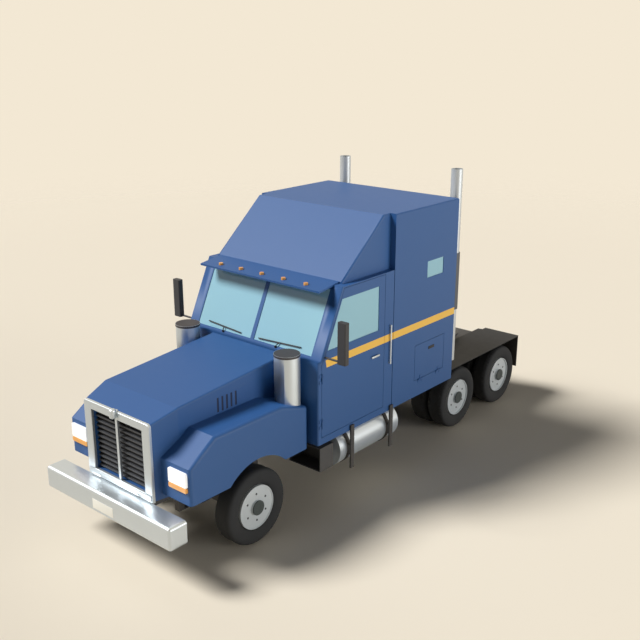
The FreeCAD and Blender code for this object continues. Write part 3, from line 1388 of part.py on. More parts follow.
# ---------------------------------------------------------------- checks and files
for thing in doc.Objects:
    if {"Invalid", "Error"} & set(thing.State):
        raise RuntimeError(f"{thing.Name} ({thing.TypeId}) failed: {thing.State}")
os.makedirs("parts", exist_ok=True)
for whole in NODES:
    shape = whole.Shape
    if shape.isNull() or not shape.isValid() or not shape.Solids:
        raise RuntimeError(f"{whole.Label} has no valid solid")
    shape.exportStep(f"parts/{whole.Label}.step")
print(f"{len(NODES)} sub-parts written")
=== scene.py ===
# %% [markdown]
# # A highway tractor unit with a high sleeper, dressed for a studio picture
# The truck arrives as a measured frame: plain solids that already sit in the right place and already
# turn on the right hinges. This lesson puts the finish on it: paint, chrome, rubber and glass, and the
# small parts that a maker adds last, such as handles, wipers, wheel studs and lids.
# Most places are read from the frame's own boxes, so a change of the frame moves most of the dressing
# with it.

# %% Load the frame
import json
import math

import bmesh
import bpy
import numpy as np
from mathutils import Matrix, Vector

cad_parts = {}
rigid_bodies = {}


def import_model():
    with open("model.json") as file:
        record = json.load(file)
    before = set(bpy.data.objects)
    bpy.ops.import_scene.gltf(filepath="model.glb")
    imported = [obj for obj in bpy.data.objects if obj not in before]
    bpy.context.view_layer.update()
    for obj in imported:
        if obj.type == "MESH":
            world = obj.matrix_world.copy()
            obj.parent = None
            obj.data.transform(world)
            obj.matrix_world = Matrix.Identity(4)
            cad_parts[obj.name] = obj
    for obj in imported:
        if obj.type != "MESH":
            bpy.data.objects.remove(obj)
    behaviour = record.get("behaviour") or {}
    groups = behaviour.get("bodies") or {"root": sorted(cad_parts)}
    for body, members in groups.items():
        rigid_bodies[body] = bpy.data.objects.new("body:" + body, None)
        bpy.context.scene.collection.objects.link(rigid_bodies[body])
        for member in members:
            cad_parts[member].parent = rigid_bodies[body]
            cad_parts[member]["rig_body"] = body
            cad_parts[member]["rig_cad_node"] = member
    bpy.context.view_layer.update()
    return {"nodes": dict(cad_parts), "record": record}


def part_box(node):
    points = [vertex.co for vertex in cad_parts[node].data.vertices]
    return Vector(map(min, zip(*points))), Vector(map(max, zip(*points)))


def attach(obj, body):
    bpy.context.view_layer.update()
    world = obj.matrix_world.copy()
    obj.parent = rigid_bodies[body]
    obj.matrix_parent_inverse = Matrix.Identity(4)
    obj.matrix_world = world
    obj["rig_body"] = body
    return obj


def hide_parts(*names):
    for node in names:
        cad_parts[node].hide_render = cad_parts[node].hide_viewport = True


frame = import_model()
bodies = frame["record"]["behaviour"]["bodies"]
slot_of = {row["node"]: row["material_slot"] for row in frame["record"]["subparts"]}
body_with = {node: body for body, nodes in bodies.items() for node in nodes}


# %% [markdown]
# ## Reading places off the frame
# A real fitter measures from edges: so far below the window, so far behind the door. `low` and `high`
# give those edges for any node, as plain numpy vectors in metres.

# %% Edges of a node
def low(node):
    """The lowest corner of a node's box."""
    return np.array(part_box(node)[0])


def high(node):
    """The highest corner of a node's box."""
    return np.array(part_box(node)[1])


print("cab", low("cab_shell").round(3), high("cab_shell").round(3))


# %% [markdown]
# ## Surfaces from numbers
# Every added part is a skin over a grid of points. One direction of the grid runs round an outline and
# the other runs along the part, so a tube, a wheel stud and a rounded box are all the same idea with
# different outlines. Whole arrays are worked out at once, which is quick and keeps the formula in view.

# %% A skin over a grid of points
def skin(rings, ring_joined=False):
    """Covers rings, an array of shape (count, points, 3), with four-sided faces.
    Ring i meets ring i + 1 point by point, and every ring closes on itself. The first and last rings
    are closed by one flat face each, or meet each other if ring_joined."""
    rings = np.asarray(rings, float)
    count, points, _ = rings.shape
    row, column = np.meshgrid(
        np.arange(count if ring_joined else count - 1), np.arange(points), indexing="ij")
    after, beside = (row + 1) % count, (column + 1) % points
    quads = np.stack([row * points + column, row * points + beside,
                      after * points + beside, after * points + column], -1).reshape(-1, 4)
    faces = quads.tolist()
    if not ring_joined:
        faces += [list(range(points))[::-1], list(range((count - 1) * points, count * points))]
    return rings.reshape(-1, 3), faces


def turned(profile, centre, axis="x", steps=48, ring_joined=False):
    """A profile of (along, radius) pairs turned about an axis through centre: the point at angle a is
    centre + along * axis + radius * (cos a, sin a) in the two other directions."""
    along, radius = np.array(profile, float).T
    angle = np.linspace(0, 2 * np.pi, steps, endpoint=False)
    first = radius[:, None] * np.cos(angle)
    second = radius[:, None] * np.sin(angle)
    third = np.repeat(along[:, None], steps, 1)
    order = {"x": (third, first, second), "y": (first, third, second), "z": (first, second, third)}[axis]
    return skin(np.stack(order, -1) + np.array(centre), ring_joined)


def slab(corner, opposite, round_off=0.01, steps=4):
    """A box with every edge and corner rounded. Its outline is a rectangle with quarter-circle corners;
    the outline is drawn in at both ends by round_off * (1 - sin t) while its height moves by
    round_off * (1 - cos t), so the ends roll over just as the sides do."""
    corner, opposite = np.minimum(corner, opposite), np.maximum(corner, opposite)
    middle, half = (corner + opposite) / 2, (opposite - corner) / 2
    radius = min(round_off, half.min() * 0.999)
    turn = np.linspace(0, np.pi / 2, steps + 1)
    angle = np.concatenate([turn + quarter * np.pi / 2 for quarter in range(4)])
    side = np.repeat([[1, 1], [-1, 1], [-1, -1], [1, -1]], steps + 1, 0)
    roll = np.linspace(0, np.pi / 2, steps + 1)
    reach = np.concatenate([np.sin(roll), np.sin(roll[::-1])])
    rise = np.concatenate([-np.cos(roll), np.cos(roll[::-1])])
    x = side[:, 0] * (half[0] - radius) + radius * reach[:, None] * np.cos(angle)
    y = side[:, 1] * (half[1] - radius) + radius * reach[:, None] * np.sin(angle)
    z = np.repeat((np.sign(rise) * (half[2] - radius) + radius * rise)[:, None], len(angle), 1)
    return skin(np.stack([x, y, z], -1) + middle)


def pipe(path, radius, steps=12, flat=1.0):
    """A round section carried along a path of points. At each point the section stands square to the
    path: one side of it is the cross product of the path with a fixed direction, the other is the
    cross product of the path with that side. flat presses the section in the second direction."""
    path = np.array(path, float)
    along = np.gradient(path, axis=0)
    along /= np.linalg.norm(along, axis=1, keepdims=True)
    fixed = np.eye(3)[np.argmin(np.abs(along).max(0))]
    side = np.cross(along, fixed)
    side /= np.linalg.norm(side, axis=1, keepdims=True)
    other = np.cross(along, side)
    angle = np.linspace(0, 2 * np.pi, steps, endpoint=False)
    radius = np.broadcast_to(np.asarray(radius, float), len(path))[:, None, None]
    rings = path[:, None] + radius * (side[:, None] * np.cos(angle)[:, None]
                                      + flat * other[:, None] * np.sin(angle)[:, None])
    return skin(rings)


def bent(points, radius=0.05, steps=6):
    """A path through points with each bend rounded: near every inner point the path follows the curve
    (1 - t)^2 * before + 2 t (1 - t) * point + t^2 * after."""
    points = np.array(points, float)
    out = [points[:1]]
    t = np.linspace(0, 1, steps)[:, None]
    for before, here, after in zip(points[:-2], points[1:-1], points[2:]):
        a = here + (before - here) * min(radius / np.linalg.norm(before - here), 0.45)
        b = here + (after - here) * min(radius / np.linalg.norm(after - here), 0.45)
        out.append((1 - t) ** 2 * a + 2 * t * (1 - t) * here + t ** 2 * b)
    return np.concatenate(out + [points[-1:]])


print("a slab has", len(slab((0, 0, 0), (1, 1, 1))[1]), "faces")


# %% [markdown]
# ## From a skin to a piece
# A truck is the same on both sides, so most small parts are made once and mirrored. Mirroring turns a
# skin inside out, so the faces of each finished mesh are turned outwards again, after points that lie
# on each other are merged.

# %% Build pieces
PIECE_MERGE, NODE_MERGE = 1e-6, 2e-5
FLAT_WITHIN = 0.2


def mirrored(part):
    """The same part on the other side of the truck: x becomes -x."""
    points, faces = part
    return np.array(points) * (-1, 1, 1), faces


def both(part):
    """The part and its mirror image."""
    return [part, mirrored(part)]


def smooth(mesh, degrees):
    """Shades a mesh smooth, and keeps edges sharper than the angle crisp."""
    mesh.shade_smooth()
    mesh.set_sharp_from_angle(angle=math.radians(degrees))


def keep_flats(made):
    """Lets each large face decide the normals along its border, so that a flat panel beside a rounded
    edge is shaded flat and only the edge rolls over."""
    weigh = made.modifiers.new("flats", "WEIGHTED_NORMAL")
    weigh.mode = "FACE_AREA"
    weigh.weight = 100
    weigh.keep_sharp = True


def piece(name, parts, material, body, degrees=35):
    """One object out of several skins, riding a body of the frame, with its origin at the frame's."""
    points, faces, start = [], [], 0
    for part_points, part_faces in parts:
        points.append(np.array(part_points, float))
        faces += [[index + start for index in face] for face in part_faces]
        start += len(part_points)
    mesh = bpy.data.meshes.new(name)
    mesh.from_pydata(np.concatenate(points).tolist(), [], faces)
    shell = bmesh.new()
    shell.from_mesh(mesh)
    bmesh.ops.remove_doubles(shell, verts=shell.verts, dist=PIECE_MERGE)
    bmesh.ops.recalc_face_normals(shell, faces=shell.faces)
    shell.to_mesh(mesh)
    shell.free()
    smooth(mesh, degrees)
    made = bpy.data.objects.new(name, mesh)
    bpy.context.scene.collection.objects.link(made)
    mesh.materials.append(material)
    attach(made, body)
    return made


def fair_copy(node, material, degrees=30):
    """A copy of a node with its loose triangles merged into whole faces and its round faces shaded
    smooth. It stands for the node, which carries the same shape in straight facets."""
    made = frame["nodes"][node].copy()
    made.data = made.data.copy()
    made.name = made.data.name = node + "_skin"
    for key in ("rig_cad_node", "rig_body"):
        if key in made:
            del made[key]
    made.parent = None
    bpy.context.scene.collection.objects.link(made)
    shell = bmesh.new()
    shell.from_mesh(made.data)
    bmesh.ops.remove_doubles(shell, verts=shell.verts, dist=NODE_MERGE)
    bmesh.ops.dissolve_limit(shell, angle_limit=math.radians(FLAT_WITHIN), verts=shell.verts,
                             edges=shell.edges)
    shell.to_mesh(made.data)
    shell.free()
    smooth(made.data, degrees)
    made.data.materials.clear()
    made.data.materials.append(material)
    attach(made, body_with[node])
    keep_flats(made)
    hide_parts(node)


# %% [markdown]
# ## Shared effects
# Road dust and fine grain turn up on nearly every surface of a working truck. Each is a node group
# that gives back a mask or a normal, and each finish decides what to do with it.

# %% Node groups
def new_group(name, inputs, outputs):
    """An empty node group with named float inputs (name, value) and outputs (name, kind)."""
    group = bpy.data.node_groups.new(name, "ShaderNodeTree")
    for label, value in inputs:
        socket = group.interface.new_socket(name=label, in_out="INPUT", socket_type="NodeSocketFloat")
        socket.default_value = value
    for label, kind in outputs:
        group.interface.new_socket(name=label, in_out="OUTPUT", socket_type=kind)
    return group, group.nodes.new("NodeGroupInput"), group.nodes.new("NodeGroupOutput")


def math_node(tree, operation, first, second=None, third=None, clamp=False):
    """One Math node; each input is a number or a socket."""
    node = tree.nodes.new("ShaderNodeMath")
    node.operation = operation
    node.use_clamp = clamp
    for index, value in enumerate((first, second, third)):
        if value is None:
            continue
        if isinstance(value, (int, float)):
            node.inputs[index].default_value = value
        else:
            tree.links.new(value, node.inputs[index])
    return node.outputs[0]


def noise(tree, vector, scale, detail):
    """The factor of a Noise Texture at a scale in cycles per metre."""
    node = tree.nodes.new("ShaderNodeTexNoise")
    node.inputs["Scale"].default_value = scale
    node.inputs["Detail"].default_value = detail
    tree.links.new(vector, node.inputs["Vector"])
    return node.outputs["Fac"]


def object_axes(tree):
    """Object coordinates, and their x, y and z."""
    place = tree.nodes.new("ShaderNodeTexCoord").outputs["Object"]
    parts = tree.nodes.new("ShaderNodeSeparateXYZ")
    tree.links.new(place, parts.inputs[0])
    return place, parts.outputs[0], parts.outputs[1], parts.outputs[2]


def road_dust_group():
    """Dust = how near the ground the point is, times slow noise. It is 1 at the ground and 0 above
    the height given by Reach, and Amount scales it."""
    group, given, out = new_group("RoadDust", [("Amount", 0.3), ("Reach", 1.2)],
                                  [("Mask", "NodeSocketFloat")])
    place, _, _, z = object_axes(group)
    near = math_node(group, "SUBTRACT", 1.0, math_node(group, "DIVIDE", z, given.outputs["Reach"]),
                     clamp=True)
    patch = math_node(group, "ADD", math_node(group, "MULTIPLY", noise(group, place, 3.5, 5), 0.9), 0.25)
    full = math_node(group, "MULTIPLY", near, patch)
    mask = math_node(group, "MULTIPLY", full, given.outputs["Amount"], clamp=True)
    group.links.new(mask, out.inputs["Mask"])
    return group


def grain_group():
    """Grain = fine noise used as a height: the normal leans by the slope of the noise."""
    group, given, out = new_group("FineGrain", [("Scale", 220.0), ("Strength", 0.15)],
                                  [("Normal", "NodeSocketVector")])
    place, *_ = object_axes(group)
    texture = group.nodes.new("ShaderNodeTexNoise")
    texture.inputs["Detail"].default_value = 2.0
    group.links.new(place, texture.inputs["Vector"])
    group.links.new(given.outputs["Scale"], texture.inputs["Scale"])
    bump = group.nodes.new("ShaderNodeBump")
    bump.inputs["Distance"].default_value = 0.001
    group.links.new(given.outputs["Strength"], bump.inputs["Strength"])
    group.links.new(texture.outputs["Fac"], bump.inputs["Height"])
    group.links.new(bump.outputs["Normal"], out.inputs["Normal"])
    return group


DUST, GRAIN = road_dust_group(), grain_group()
print("groups", [group.name for group in (DUST, GRAIN)])


# %% [markdown]
# ## Finishes
# A finish here is one Principled BSDF with a base colour, a little variation from slow noise and its own
# gloss. Dust covers and dulls whatever sits near the road, and castings and rubber get fine grain.
# Numbers that are the same all over are set on the shader itself.

# %% The plain finish
DUST_COLOUR = (0.30, 0.27, 0.22, 1.0)
DUST_DULLS = 0.6
COAT_ROUGHNESS = 0.12


def srgb(*levels):
    """Screen levels from 0 to 255 as linear colour: the standard curve, ((c + 0.055) / 1.055) ^ 2.4."""
    c = np.array(levels, float) / 255
    linear = np.where(c <= 0.04045, c / 12.92, ((c + 0.055) / 1.055) ** 2.4)
    return (*linear.tolist(), 1.0)


def mix_colour(tree, mask, first, second):
    """first where the mask is 0 and second where it is 1."""
    node = tree.nodes.new("ShaderNodeMix")
    node.data_type = "RGBA"
    tree.links.new(mask, node.inputs["Factor"])
    for name, value in (("A", first), ("B", second)):
        socket = [s for s in node.inputs if s.name == name and s.type == "RGBA"][0]
        if isinstance(value, tuple):
            socket.default_value = value
        else:
            tree.links.new(value, socket)
    return [s for s in node.outputs if s.type == "RGBA"][0]


def placed(tree, group, **values):
    """A node group put into a material, with its own values."""
    node = tree.nodes.new("ShaderNodeGroup")
    node.node_tree = group
    for name, value in values.items():
        node.inputs[name].default_value = value
    return node


def finish(name, colour, rough=0.5, metal=0.0, coat=0.0, dust=0.25, reach=1.3, grain=0.0, scale=220.0,
           spread=0.06, smudge=0.10, pattern=None, **plain):
    """A material: base colour varied by slow noise (spread), roughness varied by quicker noise (smudge),
    dust near the ground, fine grain in the normal, and any pattern(tree, colour) over the base."""
    material = bpy.data.materials.new(name)
    material.use_nodes = True
    tree = material.node_tree
    shader = tree.nodes["Principled BSDF"]
    place, *_ = object_axes(tree)
    dark = tuple(c * (1 - spread) for c in colour[:3]) + (1.0,)
    light = tuple(min(1.0, c * (1 + spread)) for c in colour[:3]) + (1.0,)
    base = mix_colour(tree, noise(tree, place, 1.7, 4), dark, light)
    if pattern:
        base = pattern(tree, base)
    mask = placed(tree, DUST, Amount=dust, Reach=reach).outputs["Mask"]
    tree.links.new(mix_colour(tree, mask, base, DUST_COLOUR), shader.inputs["Base Color"])
    touched = math_node(tree, "MULTIPLY_ADD", noise(tree, place, 9.0, 3), smudge, rough - smudge / 2)
    dulled = math_node(tree, "MULTIPLY_ADD", mask, DUST_DULLS, touched, clamp=True)
    tree.links.new(dulled, shader.inputs["Roughness"])
    shader.inputs["Metallic"].default_value = metal
    shader.inputs["Coat Weight"].default_value = coat
    shader.inputs["Coat Roughness"].default_value = COAT_ROUGHNESS
    if grain:
        rough_skin = placed(tree, GRAIN, Scale=scale, Strength=grain)
        tree.links.new(rough_skin.outputs["Normal"], shader.inputs["Normal"])
    for key, value in plain.items():
        shader.inputs[key.replace("_", " ")].default_value = value
    return material


# %% [markdown]
# ## Body paint with its side stripe
# The stripe is masking-tape work: one straight amber band along both sides, from behind the windscreen
# pillar to the rear of the sleeper, with a slanted front end. It is painted across the doors, so it is
# a rule in the paint (inside this height, behind this line, on the sides only) and not a separate strip.

# %% Body paint
GLASS_INSET = 0.008
side = high("door_glass_left")[0] + GLASS_INSET
door_low, door_high = low("door_left"), high("door_left")
STRIPE_LOW, STRIPE_HIGH = 2.083, 2.188
STRIPE_LEAN, STRIPE_INSET = -0.17, 0.106
STRIPE_START = float(door_low[1] + STRIPE_INSET)
SIDE_MARGIN = 0.012


def side_stripe(tree, base):
    """Amber where z is between the stripe's edges, |x| is at the side, and y is behind a slanted line."""
    _, x, y, z = object_axes(tree)
    level = math_node(tree, "MULTIPLY", math_node(tree, "GREATER_THAN", z, STRIPE_LOW),
                      math_node(tree, "LESS_THAN", z, STRIPE_HIGH))
    out = math_node(tree, "GREATER_THAN", math_node(tree, "ABSOLUTE", x), float(side) - SIDE_MARGIN)
    slant = math_node(tree, "MULTIPLY_ADD", math_node(tree, "SUBTRACT", z, STRIPE_LOW), STRIPE_LEAN,
                      STRIPE_START)
    behind = math_node(tree, "MULTIPLY", out, math_node(tree, "GREATER_THAN", y, slant))
    return mix_colour(tree, math_node(tree, "MULTIPLY", level, behind), base, AMBER)


BLUE, AMBER = srgb(36, 85, 144), srgb(244, 194, 82)
body_paint = finish("BodyPaint", BLUE, rough=0.52, dust=0.04, reach=1.9, spread=0.02, smudge=0.04,
                    pattern=side_stripe, Specular_IOR_Level=0.5)
print("stripe starts at", round(STRIPE_START, 3))

# %% [markdown]
# ## The other finishes
# Bright metal is nearly all reflection, so it needs a pale room round it and a little roughness to look
# like pressed steel and not like a mirror. Rubber and chassis paint are nearly all base colour.

# %% Metals, rubbers, plastics and lamps
EVEN = {"dust": 0.0, "smudge": 0.02, "spread": 0.02}
finishes = {
    "body_paint": body_paint,
    "frame_paint": finish("ChassisPaint", srgb(50, 50, 53), rough=0.55, dust=0.25),
    "bright_metal": finish("BrightMetal", srgb(206, 214, 220), rough=0.36, metal=0.78, **EVEN),
    "cast_iron": finish("CastIron", srgb(92, 94, 98), rough=0.6, grain=0.4, scale=90, dust=0.15),
    "radiator_core": finish("RadiatorCore", srgb(40, 40, 43), rough=0.7, metal=0.2, dust=0.0),
    "polished_tank": finish("TankMetal", srgb(216, 226, 236), rough=0.3, metal=0.6, **EVEN),
    "step_metal": finish("StepMetal", srgb(62, 63, 66), rough=0.55, grain=0.5, scale=60, dust=0.2),
    "interior": finish("CabTrim", srgb(62, 62, 66), rough=0.75, grain=0.3, scale=300, dust=0.0),
    "amber_lens": finish("AmberLens", srgb(244, 172, 84), rough=0.3, coat=0.3, dust=0.0),
    "lamp_lens": finish("LampLens", srgb(250, 251, 248), rough=0.3, coat=0.3, dust=0.0,
                        Emission_Strength=0.25),
    "mirror_housing": finish("MirrorHousing", srgb(54, 54, 57), rough=0.6, dust=0.0),
    "grille_paint": finish("GrilleSlats", srgb(66, 68, 72), rough=0.5, dust=0.0),
    "exhaust_metal": finish("StackMetal", srgb(196, 201, 204), rough=0.4, metal=0.4, **EVEN),
    "shield_metal": finish("ShieldMetal", srgb(84, 87, 91), rough=0.5, metal=0.3, dust=0.0),
    "deck_paint": finish("DeckPaint", srgb(38, 39, 42), rough=0.6, dust=0.05, Specular_IOR_Level=0.3),
    "flap_rubber": finish("FlapRubber", srgb(38, 38, 40), rough=0.75, dust=0.2),
    "coupling_steel": finish("CouplingSteel", srgb(78, 78, 80), rough=0.45, metal=0.4, dust=0.05),
    "tyre": finish("TyreRubber", srgb(44, 46, 49), rough=0.8, grain=0.25, scale=400, dust=0.05, reach=0.9,
                   Specular_IOR_Level=0.3),
    "rim_metal": finish("WheelMetal", srgb(202, 209, 213), rough=0.5, metal=0.1, dust=0.02),
}
LID = finish("CleanerLid", srgb(58, 55, 58), rough=0.55, dust=0.0)
HUB_CAP = finish("HubCap", srgb(62, 70, 70), rough=0.6, dust=0.0)
SEAL = finish("SealRubber", srgb(34, 34, 38), rough=0.6, dust=0.0)
# Painted shade: a dark blue for the shade inside the hood's louvre slots.
LOUVRE_SHADE = finish("LouvreGauze", srgb(18, 34, 66), rough=0.7, dust=0.0)
PLATE = finish("BlankPlate", srgb(236, 234, 224), rough=0.5, dust=0.0)
SILVER_GLASS = finish("MirrorGlass", srgb(206, 212, 216), rough=0.08, metal=1.0, dust=0.0, spread=0.0)


def glass_finish():
    """Tinted glass: a pale cyan Principled that lets an eighth of its light through."""
    material = bpy.data.materials.new("TintedGlass")
    material.use_nodes = True
    tree = material.node_tree
    shader = tree.nodes["Principled BSDF"]
    place, *_ = object_axes(tree)
    tint = mix_colour(tree, noise(tree, place, 0.8, 2), srgb(158, 208, 226), srgb(165, 214, 229))
    tree.links.new(tint, shader.inputs["Base Color"])
    shader.inputs["Roughness"].default_value = 0.08
    shader.inputs["Transmission Weight"].default_value = 0.12
    shader.inputs["IOR"].default_value = 1.45
    return material


finishes["window_glass"] = glass_finish()
print("finishes", len(finishes))

# %% [markdown]
# ## Dress the frame's own nodes
# Flat-sided nodes are shown as they are. Those with round or rolled faces, such as the tanks, the stacks
# and the hood, come as straight facets, so each gets a fair copy whose round faces are shaded smooth.

# %% Finishes on the nodes
ROUND_NODES = [
    "bumper", "fuel_tanks", "tank_straps", "roof_fairing", "hood_shell", "fenders", "air_cleaners",
    "exhaust_stacks", "heat_shields", "mirror_left", "mirror_right", "marker_lamps", "front_axle",
    "front_springs", "drive_axles", "suspension_arms", "driveline", "fifth_wheel_plate", "knuckle_left",
    "knuckle_right", "tie_rod", "steering_wheel", "sleeper_shell", "headlamps", "turn_lamps",
    "grille_surround", "engine_block", "cab_shell", "sun_visor", "crossmembers", "fifth_wheel_base",
]
SIDES = ("left", "right")
AXLES = ("front", "drive", "rear")
ROUND_NODES += [f"{axle}_rim_{hand}" for axle in AXLES for hand in SIDES]
for node, made in frame["nodes"].items():
    made.data.materials.clear()
    made.data.materials.append(finishes[slot_of[node]])
for node in ROUND_NODES:
    fair_copy(node, finishes[slot_of[node]])
print("fair copies", len(ROUND_NODES))


# %% [markdown]
# ## Tyres
# A tyre is a closed ring: the tread on the outside, rounded shoulders, bulging sidewalls, and a bead
# that grips the rim. The section is a list of points across the tyre, carried round the axle; the
# tread's grooves are a small drop in radius, worked out from where each point is.

# %% Tyre surface
TREAD_BLOCKS, SHOULDER, SIDEWALL = 54, 0.42, 0.5
BLOCK_DEPTH, RIB_DEPTH = 0.012, 0.010
TREAD_BAND, TREAD_FADE = 0.030, 0.026
TWIN_GAP, BEAD_GRIP = 0.056, 0.014


def tyre(inner, outer, centre, radius, bead, blocks):
    """One tyre between x = inner and x = outer. Its section is a closed loop: width w and height h, both
    from -1 to 1, follow a rounded rectangle, w = cos(t)^0.42 and h = sin(t)^0.5 with their signs kept,
    and the width is drawn in towards the bead. The radius drops by the groove depth where a groove or,
    on a driven tyre, a gap between blocks passes."""
    middle, half = (inner + outer) / 2, abs(outer - inner) / 2
    t = np.linspace(0, 2 * np.pi, 60, endpoint=False)
    across = np.sign(np.cos(t)) * np.abs(np.cos(t)) ** SHOULDER
    up = np.sign(np.sin(t)) * np.abs(np.sin(t)) ** SIDEWALL
    pinch = np.where(up < 0, 1 - 0.24 * np.abs(up) ** 1.5, 1.0)
    width = across * half * pinch
    height = (radius + bead) / 2 + up * (radius - bead) / 2
    steps = TREAD_BLOCKS * 4
    angle = np.linspace(0, 2 * np.pi, steps, endpoint=False)[:, None]
    near_tread = np.clip((height - (radius - TREAD_BAND)) / TREAD_FADE, 0, 1)
    if blocks:
        gap = (np.arange(steps) % 4 == 0)[:, None] & (np.abs(width) > half * 0.52)[None]
        drop = gap * BLOCK_DEPTH + ((np.abs(width) < half * 0.06)[None] * BLOCK_DEPTH)
    else:
        lane = np.abs(np.sin(width / half * np.pi * 2.1)) < 0.16
        drop = np.repeat(lane[None] * RIB_DEPTH, steps, 0)
    grown = height[None] - drop * near_tread[None]
    rings = np.stack([middle + np.repeat(width[None], steps, 0),
                      centre[1] + grown * np.cos(angle), centre[2] + grown * np.sin(angle)], -1)
    return skin(rings, ring_joined=True)


for axle in AXLES:
    for hand in SIDES:
        node = f"{axle}_tyre_{hand}"
        a, b = low(node), high(node)
        sign = 1 if hand == "left" else -1
        centre, radius = (a + b) / 2, (b[2] - a[2]) / 2
        bead = (high(f"{axle}_rim_{hand}")[2] - low(f"{axle}_rim_{hand}")[2]) / 2 - BEAD_GRIP
        outer, inner = (b[0], a[0]) if sign > 0 else (a[0], b[0])
        if axle == "front":
            parts = [tyre(inner, outer, centre, radius, bead, False)]
        else:
            wide = (abs(outer - inner) - TWIN_GAP) / 2
            parts = [tyre(outer - sign * wide, outer, centre, radius, bead, True),
                     tyre(inner, inner + sign * wide, centre, radius, bead, True)]
        rubber = piece(f"{axle}_tread_{hand}", parts, finishes["tyre"], body_with[node], 40)
        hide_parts(node)
print("tyre faces", len(rubber.data.polygons))

# %% [markdown]
# ## Hub caps and studs
# A low dark cap stands over the bearing in the middle of each wheel. It is turned from a short profile:
# a straight side, a small bevel and a flat face with a shallow dish. Six studs stand in a ring round it,
# each in the round recess that the wheel's disc has for it.

# %% Hubs
def hub_cap(start, sign, centre, reach):
    """A turned cap of radius reach on the hub's end, which is at x = start."""
    profile = [(-0.010, 0.001), (-0.010, reach), (0.003, reach), (0.008, reach * 0.95),
               (0.008, reach * 0.40), (0.005, reach * 0.36), (0.005, 0.001)]
    return turned([(sign * along, radius) for along, radius in profile], (start, *centre), "x", 48)


STUD_RING, RECESS = 0.182, 0.016
STUD = [(-0.008, 0.001), (-0.008, 0.014), (0.003, 0.014), (0.006, 0.011), (0.006, 0.001)]
for axle in AXLES:
    for hand in SIDES:
        sign = 1 if hand == "left" else -1
        rim = frame["nodes"][f"{axle}_rim_{hand}"]
        points = np.array([v.co for v in rim.data.vertices])
        centre = ((low(rim.name) + high(rim.name)) / 2)[1:]
        away = np.hypot(points[:, 1] - centre[0], points[:, 2] - centre[1])
        hub_end = points[np.argmax(points[:, 0] * sign)]
        reach = away[np.isclose(points[:, 0], hub_end[0], atol=1e-4)].max() + 0.002
        from_recess = np.hypot(points[:, 1] - centre[0], points[:, 2] - centre[1] - STUD_RING)
        face = (points[np.isclose(from_recess, RECESS, atol=1e-3)][:, 0] * sign).max() * sign
        studs = []
        for turn in np.arange(6) * math.pi / 3:
            spot = (face, centre[0] + STUD_RING * math.sin(turn), centre[1] + STUD_RING * math.cos(turn))
            studs.append(turned([(sign * x, r) for x, r in STUD], spot, "x", 16))
        piece(f"{axle}_hub_cap_{hand}", [hub_cap(hub_end[0], sign, centre, reach)], HUB_CAP,
              body_with[rim.name])
        # The studs are real parts; their dark metal is also painted shade for the recesses they stand in.
        piece(f"{axle}_studs_{hand}", studs, finishes["shield_metal"], body_with[rim.name])
        print(axle, hand, "hub end", round(float(hub_end[0]), 3), "reach", round(float(reach), 3))

# %% [markdown]
# ## Door furniture
# The driver reaches the cab by a long grab bar behind the door and a short pull handle in the door.
# The bar is straight tube and the handle a flat rounded bar, and both stand on two small feet.

# %% Handles and grab bars
CHROME = finishes["bright_metal"]
SUNK = 0.004
HANDLE_BELOW_STRIPE, HANDLE_FOOT = 0.133, 0.012
handle_z = STRIPE_LOW - HANDLE_BELOW_STRIPE
start, end = door_high[1] - 0.294, door_high[1] - 0.125
handle = [slab((side + 0.014, start, handle_z - 0.014), (side + 0.026, end, handle_z + 0.014), 0.005)]
for spot in (start + HANDLE_FOOT, end - HANDLE_FOOT):
    handle.append(slab((side - SUNK, spot - HANDLE_FOOT, handle_z - 0.011),
                       (side + 0.020, spot + HANDLE_FOOT, handle_z + 0.011), 0.004))
piece("door_handle_left", handle, CHROME, "left_door")
piece("door_handle_right", [mirrored(part) for part in handle], CHROME, "right_door")

bar_y, bar_low, bar_high, stand = door_high[1] + 0.127, 1.749, 2.323, 0.024
bar = pipe([(side + stand, bar_y, z) for z in (bar_low, bar_high)], 0.011, 16)
feet = [slab((side - SUNK, bar_y - 0.010, z - 0.010), (side + stand, bar_y + 0.010, z + 0.010), 0.004)
        for z in (bar_low + 0.02, bar_high - 0.02)]
piece("grab_bars", both(bar) + both(feet[0]) + both(feet[1]), CHROME, "chassis")

# %% [markdown]
# ## Wipers
# Each wiper is a flat rubber blade and an arm that springs from a spindle on the ledge below the
# windscreen. They park low on the glass, one for each pane.

# %% Wipers
SCREEN_LEAN, BLADE_OFF, ARM_OFF, FOOT_OFF = 0.4688, 0.014, 0.022, 0.020
SPINDLE = [(-0.010, 0.001), (-0.010, 0.014), (0.010, 0.014), (0.014, 0.001)]
glass_low = low("cab_glass")


def screen_point(x, z, off):
    """A point in front of the windscreen at height z: from its foot the screen leans back at a
    constant rate, and off is how far ahead of the glass the point stands."""
    return np.array([x, glass_low[1] + (z - glass_low[2]) * SCREEN_LEAN - off, z])


def wiper(x0, z0, x1, z1, spindle_x):
    """A flat blade lying on the glass between two points, and the arm from its spindle."""
    start, end = screen_point(x0, z0, BLADE_OFF), screen_point(x1, z1, BLADE_OFF)
    blade = start + (end - start) * np.linspace(0, 1, 14)[:, None]
    middle = screen_point((x0 + x1) / 2, (z0 + z1) / 2, ARM_OFF)
    foot = screen_point(spindle_x, glass_low[2] - 0.004, FOOT_OFF)
    arm = bent([foot, (foot + middle) / 2 - (0, 0.010, 0), middle], 0.03)
    return [pipe(blade, 0.007, 8, 1.6), pipe(arm, 0.007, 8), turned(SPINDLE, foot, "z", 20)]


blades = wiper(-0.87, 2.285, -0.22, 2.250, -0.55) + wiper(0.12, 2.250, 0.87, 2.285, 0.45)
piece("wipers", blades, SEAL, "chassis")

# %% [markdown]
# ## Front plate and latches
# The plate on the bumper is blank. Latches are dark pills let into the luggage doors.

